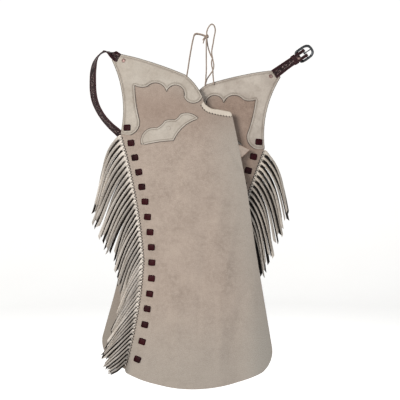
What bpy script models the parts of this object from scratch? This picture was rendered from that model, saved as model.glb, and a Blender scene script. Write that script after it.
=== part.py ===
import math

import bmesh
import bpy
import numpy as np
from mathutils import Vector
from mathutils.geometry import delaunay_2d_cdt

# Leather rodeo chaps hung by their tie laces. Sizes in millimetres, turned to metres when a mesh is made.
# World: X across the front, Y from the front to the back, Z up. The origin is where the lace loop is held.
MM = 0.001

# Each leg is drawn in its own pattern coordinates: across from the lace hole to the crotch, down from it.
NEAR_HOLE_X, NEAR_HOLE_Z, NEAR_BASE_Y = -75.0, -159.6, -22.0
FAR_HOLE_X, FAR_HOLE_Z, FAR_BASE_Y = -20.4, -182.7, 18.0
FAR_TURN_DEG = 5.8
FAR_TUCK, FAR_LIFT = 22.0, 30.0

SUEDE = 1.8
YOKE_LEATHER = 2.4
FACING_LEATHER = 1.6
TRIM_LEATHER = 2.0
TAB_SUEDE = 2.0
BLOCK_EDGE, BLOCK_CROWN = 1.6, 3.4
STRAP_WIDTH, STRAP_LEATHER = 29.0, 3.2
SEAM_GAP = 0.3
LACE_HOLE_R = 4.2
LACE_D = 4.0

# across, down, bulge of the edge to the next row (outwards), number of chords on that edge
YOKE_TOP_EDGE = [
    (-198.0, 168.0, -19.0, 13),
    (-224.0, -51.0, 3.0, 2),
    (-207.0, -69.0, 1.0, 1),
    (-189.0, -67.5, 4.0, 10),
    (-4.5, -6.9, 5.0, 5),
]
YOKE_SCALLOPS = [
    (45.3, 55.5, 1.5, 1),
    (45.3, 62.1, 18.0, 6),
    (-9.0, 59.4, -26.0, 8),
    (-58.5, 42.0, 1.0, 1),
    (-61.5, 43.5, -17.0, 6),
    (-117.0, 28.5, 4.0, 3),
    (-154.5, 26.1, -3.0, 5),
    (-140.1, 129.0, 10.0, 4),
    (-168.0, 172.5, 2.0, 2),
]
CROTCH_EDGE = [
    (45.3, 55.5, 0.0, 1),
    (49.5, 72.0, -7.0, 4),
    (90.9, 95.7, 0.0, 2),
    (125.7, 102.0, 3.0, 2),
]
INNER_EDGE_AND_HEM = [
    (134.4, 115.5, 1.0, 8),
    (180.6, 339.0, -1.0, 8),
    (216.6, 576.0, 0.0, 8),
    (257.0, 815.0, 10.0, 4),
    (225.0, 883.5, 43.0, 15),
    (-182.0, 885.0, 3.0, 1),
]
OUTER_SEAM = [
    (-184.0, 867.0, -9.0, 14),
    (-129.0, 546.0, -10.0, 16),
]
CROTCH_TRIM_LOWER = [
    (134.4, 115.5, 0.0, 1),
    (130.5, 119.5, 1.0, 3),
    (72.0, 109.0, 5.0, 3),
    (40.5, 82.0, 0.0, 1),
]
POCKET_FACING = [
    (-136.5, 201.0, 8.5, 5),
    (-117.0, 154.5, 2.0, 2),
    (-90.0, 150.9, -2.0, 3),
    (-66.0, 129.9, 2.0, 2),
    (-37.5, 126.9, -2.0, 2),
    (-21.0, 111.0, 9.0, 5),
    (33.9, 121.5, 1.5, 1),
    (27.0, 128.1, -10.0, 7),
    (-38.4, 190.5, -2.0, 6),
    (-123.0, 201.6, 1.0, 1),
]
THIGH_TAB = [
    (117.0, 189.0, 0.0, 3),
    (153.0, 199.5, 0.0, 2),
    (189.0, 214.5, 1.0, 1),
    (188.0, 218.0, 0.0, 2),
    (165.0, 238.5, 0.0, 2),
    (126.0, 243.0, 0.0, 3),
]

# across, down, turn in degrees of each lace block's middle
BLOCKS = [
    (-177.0, 150.0, 0),
    (-166.5, 195.6, -4),
    (-154.8, 239.1, -6),
    (-143.1, 282.6, -8),
    (-134.1, 326.7, -3),
    (-124.5, 370.8, 2),
    (-117.0, 416.4, 3),
    (-109.8, 461.7, 3),
    (-105.6, 507.0, 2),
    (-104.4, 552.6, 4),
    (-105.3, 599.7, 6),
    (-111.0, 645.9, 8),
    (-118.2, 690.9, 10),
    (-125.4, 738.0, 12),
    (-133.2, 788.1, 16),
    (-147.3, 841.5, 20),
]
BLOCK_HALF_W, BLOCK_HALF_H, BLOCK_CHAMFER = 10.4, 9.5, 2.6

# share of the way down the seam, strand length, lean from the plumb line at the root, middle and tip,
# and how far the strand hangs away from the other leg
FRINGE = [
    (0.00, 270, 61, 11, 21, -18),
    (0.06, 270, 60, 12, 19, -14),
    (0.12, 245, 56, 12, 17, -10),
    (0.25, 226, 44, 11, 13, -2),
    (0.36, 212, 38, 12, 13, 6),
    (0.50, 200, 38, 16, 16, 15),
    (0.60, 188, 40, 21, 20, 31),
    (0.70, 174, 43, 26, 24, 43),
    (0.80, 148, 47, 34, 31, 54),
    (0.90, 108, 54, 46, 43, 66),
    (1.00, 42, 66, 62, 60, 66),
]
STRANDS = 52
STRAND_WIDTH, STRAND_THICK = 7.6, 1.0
FRINGE_STRIP_W, FRINGE_STRIP_T = 7.0, 2.0
LEAST_TURN_DEG, MOST_TURN_DEG = 34.0, 62.0

# x, y, z of the belt strap's middle line, and how far its face is turned from the front, in degrees
BELT_STRAP = [
    (-293.8, -22.4, -92.8, 24),
    (-301.0, -20.0, -87.8, 54),
    (-309.0, -14.0, -84.0, 74),
    (-317.8, -5.0, -81.6, 82),
    (-330.6, 4.0, -84.8, 80),
    (-341.2, 11.0, -92.2, 72),
    (-349.8, 16.0, -104.4, 63),
    (-355.4, 20.0, -119.4, 53),
    (-359.2, 23.0, -140.4, 47),
    (-360.3, 25.6, -165.0, 44),
    (-359.7, 27.4, -194.1, 43),
    (-355.2, 29.0, -222.6, 45),
    (-344.4, 31.0, -250.5, 50),
    (-327.6, 32.0, -277.5, 51),
    (-306.0, 33.0, -301.5, 48),
    (-285.0, 33.0, -320.1, 42),
    (-264.0, 33.0, -341.0, 36),
    (-243.0, 33.0, -366.6, 32),
]
BELT_STRAP_START = ((-278.4, -102.3), (-284.4, -98.9))

BUCKLE_STRAP_X, BUCKLE_STRAP_Z, BUCKLE_STRAP_RISE_DEG = 187.6, -145.4, 34.4
STRAP_TAPER = [(0, 0.0), (22, 0.4), (44, 2.4), (60, 3.0), (140, 3.0)]
KEEPER_AT, KEEPER_W, KEEPER_WALL = 81.0, 12.0, 1.8
BAR_AT, BAR_R, FOLD_R = 120.0, 2.0, 4.1
RETURN_GAP = 0.5
SLOT_FROM, SLOT_W = 101.0, 7.4
FRAME_W, FRAME_L, FRAME_RING_W, FRAME_T = 44.0, 56.0, 7.6, 4.6
FRAME_TILT_DEG = 16.0
FRAME_FAR_POWER, FRAME_NEAR_POWER = 2.7, 4.5
PRONG_W, PRONG_T, PRONG_L = 3.6, 2.4, 28.5
RIVET_R, RIVET_H = 6.0, 2.0
NEAR_RIVET, FAR_RIVET = (-188.0, -49.0), (-193.6, -50.4)

# x, y, z along each lace
LACE_NEAR = [
    (-21.9, -2.6, -32.6),
    (-29.0, -3.0, -30.0),
    (-38.0, -3.4, -27.8),
    (-46.0, -4.0, -26.6),
    (-52.6, -4.8, -29.6),
    (-55.6, -6.6, -40.0),
    (-58.8, -9.5, -54.0),
    (-63.2, -14.0, -78.0),
    (-68.2, -21.0, -110.0),
    (-72.4, -27.0, -140.0),
    (-74.4, -28.6, -152.0),
    (-75.0, -28.0, -156.4),
    (-75.0, -24.6, -158.3),
    (-75.0, -20.6, -158.2),
    (-75.0, -18.2, -155.0),
    (-73.9, -17.0, -147.5),
    (-71.4, -12.4, -132.0),
    (-66.8, -5.4, -100.0),
    (-61.8, 0.4, -70.0),
    (-57.0, 3.4, -45.0),
    (-53.6, 4.2, -32.5),
    (-47.6, 4.4, -27.6),
    (-38.0, 3.8, -28.6),
    (-29.0, 3.2, -31.0),
    (-21.9, 2.5, -33.6),
]
LACE_FAR = [
    (-16.8, -2.5, -40.6),
    (-17.0, -2.4, -52.0),
    (-17.2, -0.6, -72.0),
    (-17.1, 3.6, -106.0),
    (-17.0, 8.0, -136.0),
    (-18.6, 11.4, -162.0),
    (-19.8, 11.8, -174.5),
    (-20.4, 12.6, -179.6),
    (-20.4, 16.0, -181.4),
    (-20.2, 20.0, -181.0),
    (-19.6, 22.6, -177.4),
    (-18.0, 23.4, -170.0),
    (-13.6, 23.6, -158.0),
    (-5.4, 23.0, -146.0),
    (2.6, 21.0, -134.0),
    (5.6, 18.6, -119.0),
    (2.2, 15.2, -101.0),
    (-3.6, 12.4, -89.0),
    (-10.4, 8.6, -71.0),
    (-14.0, 5.0, -54.0),
    (-15.6, 2.9, -40.8),
]
LACE_LOOP = [
    (-15.8, 0.0, -28.4),
    (-15.4, 0.2, -20.0),
    (-11.6, 0.2, -9.4),
    (-5.6, 0.1, -1.2),
    (0.0, 0.0, 2.0),
    (6.0, -0.2, -2.4),
    (9.4, -0.4, -12.0),
    (9.4, -0.8, -22.0),
    (6.0, -1.6, -39.0),
    (3.2, -2.6, -57.0),
    (-0.4, -3.4, -76.0),
    (-0.6, -3.6, -90.0),
    (1.4, -3.2, -100.0),
    (-1.2, -2.4, -111.0),
    (-0.6, -1.2, -124.0),
    (2.4, 0.8, -136.0),
    (3.0, 3.2, -150.0),
    (4.6, 6.6, -166.0),
    (5.4, 9.0, -177.0),
]
# middle, half sizes and turn in the front view of each turn of the knot
KNOT_WRAPS = [
    ((-16.0, 0.0, -35.0), (5.2, 4.6, 4.2), 20),
    ((-14.4, -1.2, -33.4), (3.0, 4.6, 5.6), -35),
    ((-18.2, 0.8, -36.0), (3.0, 4.8, 5.0), 30),
]
# start and end of each short lace end at the knot
KNOT_ENDS = [
    ((-20.0, -2.6, -36.0), (-27.4, -6.4, -46.5)),
    ((-19.6, 3.4, -36.5), (-26.6, 7.2, -54.0)),
]


def smoothstep(t):
    """Three t squared less two t cubed, held between 0 and 1."""
    t = np.clip(t, 0.0, 1.0)
    return t * t * (3.0 - 2.0 * t)


def ramp(q, width):
    """Rises as a parabola over the width and as a straight line after it, with a slope of 1."""
    q = np.maximum(q, 0.0)
    return np.where(q < width, q * q / (2.0 * width), q - width / 2.0)


def chain(*tables):
    """The points of an outline: each row's edge is an arc whose height over its chord is the bulge."""
    rows = [row for table in tables for row in table]
    points = []
    for (ax, ay, bulge, parts), following in zip(rows, rows[1:] + rows[:1]):
        start, end = np.array((ax, ay)), np.array(following[:2])
        half = np.linalg.norm(end - start) / 2.0
        along = (end - start) / (2.0 * half)
        outward = np.array((along[1], -along[0]))
        share = np.arange(parts) / parts
        if abs(bulge) < 1e-6:
            points.append(start + share[:, None] * (end - start))
            continue
        radius = (half * half + bulge * bulge) / (2.0 * bulge)
        middle = (start + end) / 2.0 - outward * (radius - bulge)
        angle = 2.0 * math.atan(bulge / half) * (2.0 * share - 1.0)
        points.append(middle + radius * (np.outer(np.cos(angle), outward) + np.outer(np.sin(angle), along)))
    return np.concatenate(points)


def inside(points, outline):
    """Which points lie in the closed outline: an odd number of its edges is crossed by a ray."""
    x, y = points[:, :1], points[:, 1:]
    x0, y0 = outline[:, 0], outline[:, 1]
    x1, y1 = np.roll(x0, -1), np.roll(y0, -1)
    crosses = (y0 > y) != (y1 > y)
    with np.errstate(divide="ignore", invalid="ignore"):
        at = x0 + (y - y0) * (x1 - x0) / (y1 - y0)
    return (crosses & (x < at)).sum(axis=1) % 2 == 1


YOKE_OUTLINE = chain(YOKE_TOP_EDGE, YOKE_SCALLOPS)
PANEL_OUTLINE = chain(YOKE_TOP_EDGE, CROTCH_EDGE, INNER_EDGE_AND_HEM, OUTER_SEAM)
TRIM_OUTLINE = chain(CROTCH_EDGE[1:], CROTCH_TRIM_LOWER)
FACING_OUTLINE = chain(POCKET_FACING)
TAB_OUTLINE = chain(THIGH_TAB)
SEAM_LINE = chain(OUTER_SEAM, YOKE_TOP_EDGE[:1])[: OUTER_SEAM[0][3] + OUTER_SEAM[1][3] + 1][::-1]
HOLE_OUTLINE = np.array([
    (LACE_HOLE_R * math.cos(k * math.pi / 4), LACE_HOLE_R * math.sin(k * math.pi / 4)) for k in range(8)
])

# down, across of the outer and the inner edge, for the bends that follow them
OUTER_EDGE_AT = np.array([
    (-51, -224), (42, -195), (90, -192), (168, -198), (250, -176), (330, -159),
    (420, -141), (546, -129), (640, -136), (740, -152), (867, -184),
], float)
INNER_EDGE_AT = np.array([
    (-10, 20), (60, 60), (115, 134), (339, 181), (576, 217), (815, 257), (890, 262),
], float)


def depth(across, down):
    """How far back the suede's middle lies from the leg's base plane, as a sum of soft bends."""
    corner = ramp(-0.87 * (across + 120.0) - 0.49 * (down + 50.0) - 15.0, 35.0)
    back = 0.20 * corner
    outer = np.interp(down, *OUTER_EDGE_AT.T)
    turned = ramp(outer + 78.0 - across, 78.0) / 39.0
    back = back + 19.0 * turned * smoothstep((down - 10.0) / 150.0)
    inner = np.interp(down, *INNER_EDGE_AT.T)
    rolled = ramp(across - (inner - 105.0), 105.0) / 52.5
    deeper = 5.0 + 34.0 * smoothstep((down - 130.0) / 700.0)
    back = back + deeper * rolled * smoothstep((down - 90.0) / 120.0)
    low = smoothstep((down - 120.0) / 420.0)
    belly = smoothstep(1.0 - np.abs(across - 20.0) / 190.0)
    back = back - 9.0 * belly * smoothstep((down - 60.0) / 260.0)
    flute = smoothstep(1.0 - np.abs(across + 40.0 + 0.05 * down) / 62.0)
    back = back + 5.0 * flute * low
    flute = smoothstep(1.0 - np.abs(across - 122.0 - 0.04 * down) / 58.0)
    back = back + 5.5 * flute * low
    hem = smoothstep((down - 720.0) / 170.0)
    return back - 4.0 * hem * np.cos((across + 10.0) / 58.0)


class Leg:
    """Turns pattern coordinates into the hanging leg: mirrored, turned and moved back for the far one."""

    def __init__(self, side, hole_x, hole_z, base_y, turn_deg, tuck, lift, fan):
        self.side, self.hole_x, self.hole_z, self.base_y = side, hole_x, hole_z, base_y
        self.cos, self.sin = math.cos(math.radians(turn_deg)), math.sin(math.radians(turn_deg))
        self.tuck, self.lift, self.fan = tuck, lift, fan

    def middle(self, across, down):
        """World point of the suede's middle, with the inner edge drawn in and the hem lifted."""
        drawn = self.tuck * smoothstep((down - 250.0) / 450.0) * smoothstep((across - 40.0) / 220.0)
        lifted = self.lift * smoothstep((down - 420.0) / 465.0)
        u, v = self.side * (across - drawn), down - lifted
        x = self.hole_x + u * self.cos - v * self.sin
        z = self.hole_z - (u * self.sin + v * self.cos)
        return np.stack([x, self.base_y + depth(across, down), z], axis=-1)

    def normal(self, across, down):
        """Unit normal towards the front, from differences of the middle over 1 mm."""
        du = self.middle(across + 0.5, down) - self.middle(across - 0.5, down)
        dv = self.middle(across, down + 0.5) - self.middle(across, down - 0.5)
        n = np.cross(du, dv)
        n /= np.linalg.norm(n, axis=-1, keepdims=True)
        return np.where(n[..., 1:2] > 0, -n, n)

    def point(self, across, down, out):
        """The middle moved out towards the front."""
        across, down = np.asarray(across, float), np.asarray(down, float)
        return self.middle(across, down) + self.normal(across, down) * np.asarray(out, float)[..., None]


def block_outline(across, down, turn_deg):
    """A square with its corners cut, turned about its middle."""
    w, h, c = BLOCK_HALF_W, BLOCK_HALF_H, BLOCK_CHAMFER
    corners = [(-w, c - h), (c - w, -h), (w - c, -h), (w, c - h)]
    corners += [(w, h - c), (w - c, h), (c - w, h), (-w, h - c)]
    cos, sin = math.cos(math.radians(turn_deg)), math.sin(math.radians(turn_deg))
    return np.array([(across + x * cos - y * sin, down + x * sin + y * cos) for x, y in corners])


BLOCK_OUTLINES = [block_outline(*row) for row in BLOCKS]


def grid_points(outlines):
    """Rows of points over the panel, finer over the yoke, kept clear of every outline."""
    found = []
    for low, high, step in ((-70.0, 215.0, 27.0), (215.0, 890.0, 41.0)):
        downs = np.arange(low, high, step * 0.87)
        for k, down in enumerate(downs):
            across = np.arange(-230.0 + (k % 2) * step / 2.0, 270.0, step)
            found.append(np.column_stack([across, np.full(len(across), down), np.full(len(across), step)]))
    found = np.concatenate(found)
    found = found[inside(found[:, :2], PANEL_OUTLINE)]
    edges = np.concatenate(outlines)
    gap = np.linalg.norm(found[:, None, :2] - edges[None], axis=2).min(axis=1)
    found = found[gap > 0.44 * found[:, 2]][:, :2]
    held = np.zeros(len(found), bool)
    for outline in BLOCK_OUTLINES:
        held |= inside(found, outline)
    return found[~held]


def triangulate():
    """One triangulation under both legs, with every outline as an edge of it."""
    outlines = [PANEL_OUTLINE, YOKE_OUTLINE, TRIM_OUTLINE, FACING_OUTLINE, TAB_OUTLINE, HOLE_OUTLINE]
    outlines += BLOCK_OUTLINES
    points, edges = [], []
    for outline in outlines:
        first = len(points)
        count = len(outline)
        points += [Vector(p) for p in outline]
        edges += [(first + k, first + (k + 1) % count) for k in range(count)]
    points += [Vector(p) for p in grid_points(outlines)]
    made = delaunay_2d_cdt(points, edges, [], 0, 0.02)
    flat = np.array([tuple(p) for p in made[0]])
    triangles = np.array([tuple(face) for face in made[2]])
    a, b, c = flat[triangles[:, 0]], flat[triangles[:, 1]], flat[triangles[:, 2]]
    area = (b[:, 0] - a[:, 0]) * (c[:, 1] - a[:, 1]) - (b[:, 1] - a[:, 1]) * (c[:, 0] - a[:, 0])
    triangles = triangles[np.abs(area) > 0.05]
    area = area[np.abs(area) > 0.05]
    triangles[area < 0] = triangles[area < 0][:, ::-1]
    return flat, triangles


FLAT, TRIANGLES = triangulate()
CENTRES = FLAT[TRIANGLES].mean(axis=1)


def material_of(name, colour, roughness, metallic=0.0):
    """A plain Principled material, made once for each name."""
    found = bpy.data.materials.get(name)
    if found:
        return found
    found = bpy.data.materials.new(name)
    found.use_nodes = True
    shader = found.node_tree.nodes["Principled BSDF"]
    shader.inputs["Base Color"].default_value = (*colour, 1.0)
    shader.inputs["Roughness"].default_value = roughness
    shader.inputs["Metallic"].default_value = metallic
    return found


def solid(name, points, faces, look):
    """One object from points in millimetres."""
    mesh = bpy.data.meshes.new(name)
    mesh.from_pydata((np.asarray(points) * MM).tolist(), [], [tuple(int(i) for i in face) for face in faces])
    mesh.update()
    mesh.materials.append(look)
    made = bpy.data.objects.new(name, mesh)
    bpy.context.scene.collection.objects.link(made)
    return made


def slab(name, leg, chosen, low, high, look):
    """The chosen triangles as leather: one skin at each offset from the suede's middle, and its edge."""
    triangles = TRIANGLES[chosen]
    used, index = np.unique(triangles, return_inverse=True)
    triangles = index.reshape(-1, 3)
    across, down = FLAT[used, 0], FLAT[used, 1]
    front = leg.point(across, down, np.full(len(used), high))
    back = leg.point(across, down, np.full(len(used), low))
    count = len(used)
    if leg.side < 0:
        triangles = triangles[:, ::-1]
    faces = [tuple(t) for t in triangles] + [tuple(t[::-1] + count) for t in triangles]
    directed = {(int(t[k]), int(t[(k + 1) % 3])) for t in triangles for k in range(3)}
    for i, j in sorted(directed):
        if (j, i) not in directed:
            faces.append((j, i, i + count, j + count))
    made = solid(name, np.concatenate([front, back]), faces, look)
    return outward(made)


def outward(made):
    """Turns every face of the object outwards."""
    shape = bmesh.new()
    shape.from_mesh(made.data)
    bmesh.ops.recalc_face_normals(shape, faces=shape.faces)
    shape.to_mesh(made.data)
    shape.free()
    return made


def puffed_block(name, leg, outline, low, look):
    """A lace block: flat under, a low edge, and a crown drawn in to a smaller square."""
    middle = outline.mean(axis=0)
    inner = middle + (outline - middle) * 0.62
    flat = np.concatenate([outline, outline, inner, middle[None]])
    top = low + BLOCK_CROWN
    out = np.concatenate([np.full(8, low), np.full(8, low + BLOCK_EDGE), np.full(8, top - 0.3), [top]])
    points = leg.point(flat[:, 0], flat[:, 1], out)
    under = FLAT[TRIANGLES[inside(CENTRES, outline)]]
    corner = np.linalg.norm(under[:, :, None] - outline[None, None], axis=3).argmin(axis=2)
    faces = [tuple(c) for c in corner]
    for k in range(8):
        j = (k + 1) % 8
        faces += [(k, j, 8 + j, 8 + k), (8 + k, 8 + j, 16 + j, 16 + k), (16 + k, 16 + j, 24)]
    return outward(solid(name, points, faces, look))


def strand_paths(leg, roots, shares):
    """Middle points and leans of every strand at 25 steps of its full length, from the table's rows."""
    rows = np.array(FRINGE, float)
    length, root, mid, tip, back = (np.interp(shares, rows[:, 0], rows[:, k])[:, None] for k in range(1, 6))
    index = np.arange(len(shares))[:, None]
    sway = 0.4 * np.sin(index * 0.43) + 0.6 * np.sin(index * 0.19 + 1.0)
    t = np.linspace(0.0, 1.0, 25)[None]
    lean = root * (1 - t) * (1 - 2 * t) + (mid + sway) * 4 * t * (1 - t) + (tip + sway) * t * (2 * t - 1)
    lean = np.radians(lean)
    down = np.cumsum(np.cos(lean), axis=1) - np.cos(lean[:, :1])
    out = np.cumsum(np.sin(lean), axis=1) - np.sin(lean[:, :1])
    x = roots[:, :1] - leg.side * out * length / 24.0
    y = roots[:, 1:2] + 4.0 * smoothstep(t) + leg.fan * back * smoothstep(t / 0.55)
    z = roots[:, 2:] - down * length / 24.0
    return np.stack([x, y, z], axis=2), lean


def fringe(name, leg, look):
    """The cut fringe: one strip beside the seam with every strand drawn out of its outer wall."""
    line = SEAM_LINE
    along = np.concatenate([[0.0], np.cumsum(np.linalg.norm(np.diff(line, axis=0), axis=1))])
    total = along[-1]
    pitch = (total - 6.0) / STRANDS
    tangent = np.gradient(line, along, axis=0)
    tangent /= np.linalg.norm(tangent, axis=1, keepdims=True)
    side = np.column_stack([-tangent[:, 1], tangent[:, 0]])
    inner_line, outer_line = line + side * 0.5, line + side * (0.5 + FRINGE_STRIP_W)

    def at(lines, where):
        return np.column_stack([np.interp(where, along, lines[:, k]) for k in (0, 1)])

    starts = 3.0 + pitch * np.arange(STRANDS) + (pitch - STRAND_WIDTH) / 2.0
    both_sides = np.column_stack([starts, starts + STRAND_WIDTH]).ravel()
    stations = np.concatenate([[3.0], both_sides, [total - 3.0]])
    rows = []
    for lines in (inner_line, outer_line):
        flat = at(lines, stations)
        for out in (FRINGE_STRIP_T / 2.0, -FRINGE_STRIP_T / 2.0):
            rows.append(leg.point(flat[:, 0], flat[:, 1], np.full(len(stations), out)))
    n = len(stations)
    points = [p for row in rows for p in row]
    inner_f, inner_b, outer_f, outer_b = 0, n, 2 * n, 3 * n
    end = n - 1
    faces = [(inner_f, outer_f, outer_b, inner_b)]
    faces.append((inner_f + end, inner_b + end, outer_b + end, outer_f + end))
    for k in range(n - 1):
        j = k + 1
        faces.append((inner_f + k, inner_f + j, outer_f + j, outer_f + k))
        faces.append((inner_b + k, outer_b + k, outer_b + j, inner_b + j))
        faces.append((inner_f + k, inner_b + k, inner_b + j, inner_f + j))
        if k % 2 == 0:
            faces.append((outer_f + k, outer_f + j, outer_b + j, outer_b + k))
    outer_mid = (rows[2] + rows[3]) / 2.0
    roots = (outer_mid[1:-1:2] + outer_mid[2:-1:2]) / 2.0
    shares = (starts + STRAND_WIDTH / 2.0) / total
    paths, leans = strand_paths(leg, roots, shares)
    turns = [louvre_turns(leg, paths, leans, step) for step in (4, 12, 20)]
    for i in range(STRANDS):
        k, j = 2 * i + 1, 2 * i + 2
        ring = [outer_f + k, outer_f + j, outer_b + j, outer_b + k]
        cut = 0.88 + 0.12 * ((i * 0.618) % 1.0)
        for t, narrow, turn in ((0.16, 1.0, turns[0]), (0.52, 1.0, turns[1]), (cut, 0.8, turns[2])):
            cos, sin = math.cos(turn[i]), math.sin(turn[i])
            place = np.array([np.interp(t * 24, np.arange(25), paths[i][:, c]) for c in range(3)])
            lean = np.interp(t * 24, np.arange(25), leans[i])
            across = np.array((leg.side * math.cos(lean), 0.0, -math.sin(lean)))
            back = np.array((0.0, 1.0, 0.0))
            wide = (across * cos - back * sin) * STRAND_WIDTH * narrow / 2.0
            thick = (back * cos + across * sin) * STRAND_THICK / 2.0
            new = len(points)
            points += [place - wide - thick, place + wide - thick]
            points += [place + wide + thick, place - wide + thick]
            fresh = [new, new + 1, new + 2, new + 3]
            for c in range(4):
                d = (c + 1) % 4
                faces.append((ring[c], ring[d], fresh[d], fresh[c]))
            ring = fresh
        faces.append(tuple(ring))
    return outward(solid(name, np.array(points), faces, look))


def louvre_turns(leg, paths, leans, step):
    """How far each ribbon is turned from the front at one step, so that its flat faces its neighbour."""
    here, following = paths[:-1, step], paths[1:]
    nearest = np.linalg.norm(following - here[:, None], axis=2).argmin(axis=1)
    apart = following[np.arange(len(here)), nearest] - here
    lean = leans[:-1, step]
    sideways = leg.side * apart[:, 0] * np.cos(lean) - apart[:, 2] * np.sin(lean)
    turn = np.degrees(np.arctan2(np.abs(sideways), np.maximum(leg.fan * apart[:, 1], 0.0)))
    turn = np.clip(turn, LEAST_TURN_DEG, MOST_TURN_DEG)
    turn = np.concatenate([turn, turn[-1:]])
    smooth = np.convolve(np.pad(turn, 2, mode="edge"), np.ones(5) / 5.0, mode="valid")
    return leg.fan * np.radians(smooth)


def spline(rows, count):
    """Points evenly along the Catmull-Rom curve through the rows, in every column."""
    rows = np.asarray(rows, float)
    ends = np.concatenate([[2 * rows[0] - rows[1]], rows, [2 * rows[-1] - rows[-2]]])
    pieces = []
    for p0, p1, p2, p3 in zip(ends, ends[1:], ends[2:], ends[3:]):
        t = np.linspace(0.0, 1.0, 17)[:-1, None]
        pieces.append(0.5 * (2 * p1 + (p2 - p0) * t + (2 * p0 - 5 * p1 + 4 * p2 - p3) * t ** 2
                             + (3 * p1 - p0 - 3 * p2 + p3) * t ** 3))
    dense = np.concatenate(pieces + [rows[-1:]])
    run = np.concatenate([[0.0], np.cumsum(np.linalg.norm(np.diff(dense[:, :3], axis=0), axis=1))])
    where = np.linspace(0.0, run[-1], count)
    return np.column_stack([np.interp(where, run, dense[:, k]) for k in range(dense.shape[1])])


def lace(name, rows, look):
    """A round lace: points read from the smooth curve every one and a half diameters, with capped ends."""
    rough = spline(rows, 200)
    length = np.linalg.norm(np.diff(rough, axis=0), axis=1).sum()
    path = spline(rows, max(8, int(round(length / (1.5 * LACE_D)))))
    data = bpy.data.curves.new(name, "CURVE")
    data.dimensions = "3D"
    data.bevel_depth = LACE_D / 2.0 * MM
    data.bevel_resolution = 2
    data.use_fill_caps = True
    line = data.splines.new("POLY")
    line.points.add(len(path) - 1)
    for point, place in zip(line.points, path):
        point.co = (*(place * MM), 1.0)
    data.materials.append(look)
    made = bpy.data.objects.new(name, data)
    bpy.context.scene.collection.objects.link(made)
    return made


def ribbon(name, middles, wides, thicks, look):
    """A strap: a flat rectangle with cut corners carried along its stations."""
    corners = [(-1, -0.5), (-0.94, -1), (0.94, -1), (1, -0.5), (1, 0.5), (0.94, 1), (-0.94, 1), (-1, 0.5)]
    points = [m + a * w + b * t for m, w, t in zip(middles, wides, thicks) for a, b in corners]
    n = len(corners)
    faces = [tuple(range(n)), tuple(range(len(points) - n, len(points)))]
    for k in range(len(middles) - 1):
        for c in range(n):
            d = (c + 1) % n
            faces.append((k * n + c, k * n + d, (k + 1) * n + d, (k + 1) * n + c))
    return outward(solid(name, np.array(points), faces, look))


def on_yoke(leg, x, z, out):
    """The point over the yoke's flat corner seen at x, z, with that corner's normal."""
    u, v = x - leg.hole_x, leg.hole_z - z
    across = leg.side * (u * leg.cos + v * leg.sin)
    down = v * leg.cos - u * leg.sin
    normal = leg.normal(np.array(across), np.array(down))
    middle = leg.middle(np.array(across), np.array(down))
    shifted = middle + normal * out
    shift = np.array((x - shifted[0], 0.0, z - shifted[2]))
    shift[1] = -(normal[0] * shift[0] + normal[2] * shift[2]) / normal[1]
    return shifted + shift, normal


def united(target, others):
    """Joins the other meshes to the target with exact Boolean unions, then drops them."""
    for other in others:
        joint = target.modifiers.new("Union", "BOOLEAN")
        joint.operation = "UNION"
        joint.solver = "EXACT"
        joint.object = other
        apply_all(target)
        bpy.data.objects.remove(other, do_unlink=True)
    return target


def apply_all(made):
    """Replaces the object's mesh by what its modifiers make of it."""
    graph = bpy.context.evaluated_depsgraph_get()
    fresh = bpy.data.meshes.new_from_object(made.evaluated_get(graph))
    made.modifiers.clear()
    made.data = fresh
    return made


def rod(name, start, end, radius, sides, look):
    """A straight round bar between two points."""
    start, end = np.asarray(start, float), np.asarray(end, float)
    along = (end - start) / np.linalg.norm(end - start)
    first = np.cross(along, (0.0, 1.0, 0.0) if abs(along[1]) < 0.9 else (1.0, 0.0, 0.0))
    first /= np.linalg.norm(first)
    second = np.cross(along, first)
    points, faces = [], [tuple(range(sides)), tuple(range(sides, 2 * sides))]
    for place in (start, end):
        for k in range(sides):
            angle = 2 * math.pi * k / sides
            points.append(place + radius * (math.cos(angle) * first + math.sin(angle) * second))
    for k in range(sides):
        j = (k + 1) % sides
        faces.append((k, j, sides + j, sides + k))
    return outward(solid(name, np.array(points), faces, look))


def rivet(name, base, normal, first, second, radius, look):
    """A rivet's cap: a low rim and a domed middle, over the leather."""
    levels = ((1.0, 0.0), (1.0, 0.45), (0.86, 0.75), (0.5, 1.0))
    points, faces, n = [], [tuple(range(14))], 14
    for share, rise in levels:
        for k in range(n):
            angle = 2 * math.pi * k / n
            around = math.cos(angle) * first + math.sin(angle) * second
            points.append(base + radius * share * around + RIVET_H * rise * normal)
    for level in range(len(levels) - 1):
        for k in range(n):
            j = (k + 1) % n
            faces.append((level * n + k, level * n + j, (level + 1) * n + j, (level + 1) * n + k))
    faces.append(tuple(range(3 * n, 4 * n)))
    return outward(solid(name, np.array(points), faces, look))


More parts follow.
